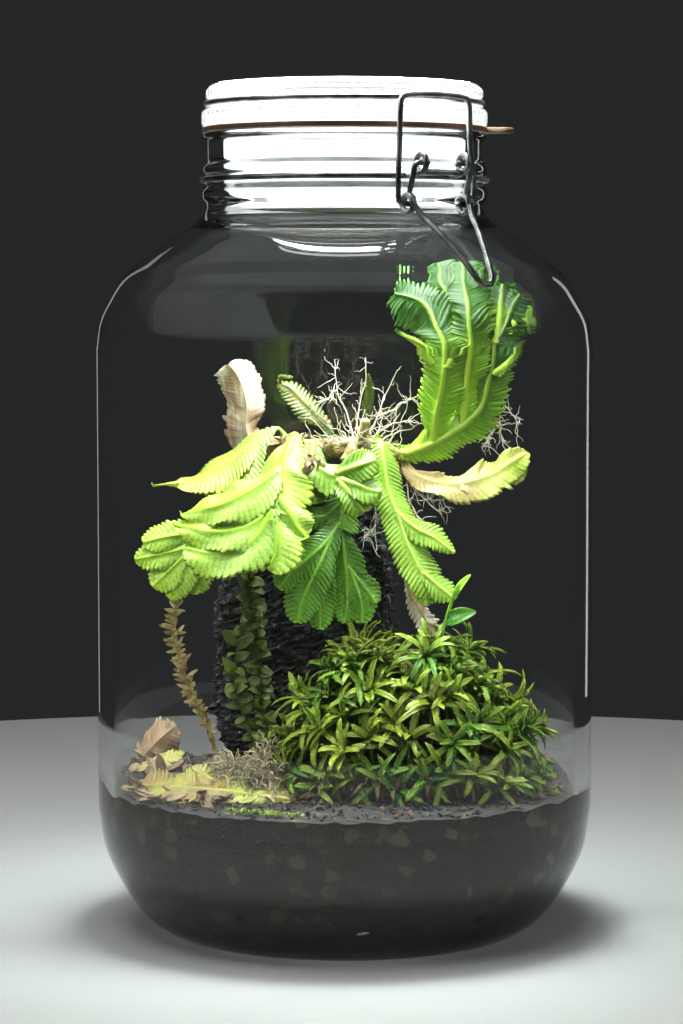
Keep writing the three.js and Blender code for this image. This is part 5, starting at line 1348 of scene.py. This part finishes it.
# %% The side shoot
side_shoot = Bundle()
add_thread(side_shoot, [[37, -36, 104], [38, -37, 120], [41, -38, 133], [44, -38, 143]], 0.8, 0.75, 10,
           (0.2, 0.3, 0))
add_oval(side_shoot, [40.5, -38, 132], [53, -41, 137], [0, -1, 0.6], 7, (0, 0.9, 0), stations=22, across=11)
add_oval(side_shoot, [44, -38, 142], [51, -38, 152], [-0.4, -1, 0.5], 3.2, (0, 0.0, 0), stations=14)
add_oval(side_shoot, [43.6, -38, 141], [46, -39.5, 148], [0.2, -1, 0.4], 2.2, (0, 0.1, 0), stations=10)
make_piece("side_shoot_leaves", side_shoot, oval_leaf, "jar_body", ["side_shoot"])

# %% [markdown]
# Litter on the soil
#
# Dead fronds have dropped to the front left. They are limp, yellow with brown blotches, and still
# show ribs and leaflets, so the same blade is used with a lower arch and a ragged edge. Beside them
# lie a clump of pale dried moss, a brown husk, and a few green moss tufts along the glass.

# %% Fallen fronds and the husk
FALLEN = {
    "frond_front": ([0, -0.7, 1], [
        [[-21, -51, 61.6, 2.5], [-34, -52, 63.4, 5.5], [-47, -50, 64.9, 8.5], [-61, -45, 65.4, 9.5],
         [-75, -37, 64.9, 9], [-88, -27, 63.4, 3.5]],
        [[-45, -48, 64.9, 3], [-54, -40, 68.4, 5.5], [-62, -33, 71.4, 2]],
        [[-36, -51.6, 64, 3], [-28, -48, 65, 5], [-21, -45, 63.8, 2.5]],
    ]),
    "frond_back": ([0, -0.4, 1], [
        [[-90, -8, 65.5, 2], [-83, -6, 68.5, 5], [-75, -4, 71, 5], [-68, -2, 73, 2]],
    ]),
    "husk": ([0.2, -0.8, 0.8], [
        [[-90, 14, 63, 2], [-86, 13, 70, 6], [-80, 12, 76, 6.5], [-73, 12, 82, 2]],
    ]),
}
LITTER_STYLE = {
    "frond_front": (fallen_frond, "fallen_frond", {"age": (0.15, 1.0), "arch": 0.16, "ragged": 0.2,
                                                   "puff": 0.25, "rib_r": 0.9, "wide": 1.2, "wave": 1.6}),
    "frond_back": (fallen_frond, "fallen_frond", {"age": (1.0, 0.6), "arch": 0.1, "cut": 0.25, "ragged": 0.15,
                                                  "puff": 0.25, "rib_r": 0.6}),
    "husk": (husk_leaf, "husk", {"age": (1.0, 0.0), "arch": 0.4, "cut": 0.12, "ragged": 0.2, "puff": 0.15,
                                 "wide": 1.5, "wave": 2.0}),
}
for name, (face, ribs) in FALLEN.items():
    finish, slot, shape = LITTER_STYLE[name]
    grow_frond("litter_" + name, "fallen_" + name, face, ribs, finish, slot, 300, **shape)

# %% Dried moss
LOWEST_BEND, LOWEST_END = 61.6, 61.4
dry_moss = leaf_finish("dry moss", (0.3, 0.24, 0.13), (0.62, 0.54, 0.36), (0.36, 0.28, 0.16),
                       blotch=(0.16, 0.1, 0.05), amount=0.5, gloss=0.65, scale=130.0, soft=0.05)
moss = Bundle()


def add_moss(start, bend, end, radius, masks):
    """A bent thread of three sides that stays above the soil."""
    bend[2], end[2] = max(bend[2], LOWEST_BEND), max(end[2], LOWEST_END)
    add_thread(moss, [start, bend, end], 2.2, radius, 3, masks)


rng = np.random.default_rng(23)
for _ in range(1500):
    a, r = rng.random() * NEAR_TURN, math.sqrt(rng.random())
    x, y = -35 + 19 * r * math.cos(a), -33 + 14 * r * math.sin(a)
    z = 60.5 + (17 + 5 * math.sin(0.35 * x)) * math.sqrt(max(0, 1 - r * r)) * (0.35 + 0.65 * rng.random())
    heading = unit(np.array([math.cos(a) * r, math.sin(a) * r, 0.5]) + 0.7 * rng.standard_normal(3))
    reach = 3 + 6 * rng.random()
    start = np.array([x, y, z])
    bend = start + heading * reach * 0.55 + rng.standard_normal(3) * 0.7
    end = bend + (heading + [0, 0, -0.6]) * reach * 0.45
    add_moss(start, bend, end, 0.3, (0.0, rng.random(), 0.5 * rng.random()))
for _ in range(420):
    x, y = -52 + 11 * rng.standard_normal(), -20 + 8 * rng.standard_normal()
    start = np.array([x, y, 61.5 + 9 * rng.random() * math.exp(-(((x + 52) / 14) ** 2))])
    bend = start + rng.standard_normal(3) * [3, 3, 1.5] + [0, 0, 1.5]
    end = bend + rng.standard_normal(3) * [3, 3, 2]
    add_moss(start, bend, end, 0.28, (0.4, 0.6 + 0.4 * rng.random(), 0.6))
make_piece("dried_moss_clump", moss, dry_moss, "jar_body", ["dried_moss"])

# %% Scraps of dead leaf round the fallen fronds
scraps = Bundle()
for _ in range(150):
    x, y = -90 + 80 * rng.random(), -62 + 80 * rng.random()
    x, y = np.array([x, y]) * min(1, 91 / np.hypot(x, y))
    spot = [x, y, float(ground_height(x, y)) + 0.8 + 1.2 * rng.random()]
    out = rng.standard_normal(3) * [1, 1, 0.35]
    add_strap(scraps, spot, out, [0.2 * rng.standard_normal(), -0.3, 1], 4 + 7 * rng.random(),
              2 + 2.6 * rng.random(), rng.standard_normal() * 0.7,
              (0.1, 0.3 * rng.random(), 0.3 * rng.random()), channel=0.7, stations=6)
make_piece("litter_scraps", scraps, husk_leaf, "jar_body", [])

# %% Green tufts at the front of the soil
tufts = Bundle()
for x, y, size in [(-38, -76, 1.0), (-31, -79, 1.2), (-26, -81, 0.8), (-44, -72, 0.7), (-20, -84, 0.9),
                   (84, -30, 1.0), (88, -22, 0.8), (-84, -34, 0.6)]:
    for _ in range(26):
        spot = np.array([x, y, 60.6]) + rng.standard_normal(3) * [2.2 * size, 1.6 * size, 0.3]
        spot[:2] *= min(1, 92 / np.hypot(*spot[:2]))
        add_strap(tufts, spot, rng.standard_normal(3) + [0, 0, 1.3], [0, 0, 1], 3.2 * size, 1.2, -0.7,
                  (0.05, rng.random(), 0.1), stations=4, thick=0.15)
make_piece("green_tufts", tufts, strap_leaf, "jar_body", [])

# %% [markdown]
# Light, floor and camera
#
# Soft lamps stand round the jar and one as wide as the mouth hangs just above the lid, because it is
# light from above that makes the lid glow and the fronds shine against their own shade. Smooth glass
# would mirror the three lamps in front as pale discs over the plants. Only rays that chance upon a
# lamp show it there, so multiple importance sampling is off for these three: leaves and wire still
# get their sheen, and the glass stays clear. Two tall thin lamps behind draw the bright lines at the
# jar's edges. Light in such an edge has met the glass three times, and light straight through the
# jar four times, so these lamps count the meetings and stay dark after the third. The camera stands
# where the photograph was taken from: 1.25 metres away, below the top of the lid, looking down by
# 4.4 degrees.

# %% Camera
PHOTO_HEIGHT, FOCAL_PIXELS, SHIFT_PIXELS, SENSOR = 1024, 2980, -3, 36
scene = bpy.context.scene
camera_data = bpy.data.cameras.new("camera")
camera_data.sensor_width = SENSOR
camera_data.lens = FOCAL_PIXELS / PHOTO_HEIGHT * SENSOR
camera_data.shift_x = SHIFT_PIXELS / PHOTO_HEIGHT
camera = new_object("camera", camera_data)
camera.location = from_view([0, -1250, 270.6])
camera.rotation_euler = (math.radians(90 - 4.4), 0, VIEW_TURN)
scene.camera = camera
scene.view_settings.view_transform = "Standard"
scene.view_settings.exposure = -0.8

# %% Lamps
def soft_lamp(name, place, target, size, watts):
    """A disc of one size in metres, or a rectangle of two, that faces its target."""
    data = bpy.data.lights.new(name, "AREA")
    data.energy = watts
    if isinstance(size, tuple):
        data.shape, (data.size, data.size_y) = "RECTANGLE", size
    else:
        data.shape, data.size = "DISK", size
    lamp = new_object(name, data)
    lamp.location = from_view(place)
    aim = Vector(from_view(target)) - lamp.location
    lamp.rotation_euler = aim.to_track_quat("-Z", "Y").to_euler()
    return lamp


soft_lamp("lamp_over_lid", [0, 0, 362], [0, 0, 0], 0.116, 5.2).visible_camera = False
for name, place, watts in [("lamp_high", [-120, -150, 1150], 8.5), ("lamp_left", [-900, -500, 800], 4.6),
                           ("lamp_right", [900, -300, 750], 2.8)]:
    lamp = soft_lamp(name, place, [0, 0, 150], 0.5, watts)
    lamp.data.cycles.use_multiple_importance_sampling = False
for name, side, width, watts in [("edge_left", -430, 0.07, 0.16), ("edge_right", 640, 0.09, 0.45)]:
    lamp = soft_lamp(name, [side, 981, 320], [0, 0, 320], (width, 0.76), watts)
    lamp.visible_camera = False
    lamp.data.use_nodes = True
    tree = lamp.data.node_tree
    meetings = put(tree, "ShaderNodeLightPath").outputs["Ray Depth"]
    tree.links.new(calc(tree, "LESS_THAN", meetings, 3.5), tree.nodes["Emission"].inputs["Strength"])

world = bpy.data.worlds.new("studio")
world.use_nodes = True
backdrop = world.node_tree.nodes["Background"]
backdrop.inputs["Color"].default_value = rgba((0.8, 0.82, 0.85))
backdrop.inputs["Strength"].default_value = 0.042
scene.world = world

# %% Pale floor
FLOOR_R, FLOOR_DROP, FLOOR_SIDES = 0.62, -0.0002, 180
floor_finish, tree, _ = start_finish("pale floor")
end_finish(tree, (0.5, 0.5, 0.49), 0.6)
floor_mesh = bpy.data.meshes.new("floor")
turn = np.linspace(0, 2 * math.pi, FLOOR_SIDES, endpoint=False)
edge = np.column_stack([FLOOR_R * np.cos(turn), FLOOR_R * np.sin(turn), np.full(FLOOR_SIDES, FLOOR_DROP)])
floor_mesh.from_pydata(edge.tolist(), [], [tuple(range(FLOOR_SIDES))])
floor_mesh.materials.append(floor_finish)
floor = new_object("floor", floor_mesh)
floor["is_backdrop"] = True

# %% The size before and after dressing
dressed_low, dressed_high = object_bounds()
size = {"cad": [list(cad_low), list(cad_high)], "visual": [list(dressed_low), list(dressed_high)]}
print("dressed box", [round(v, 4) for v in (*dressed_low, *dressed_high)])
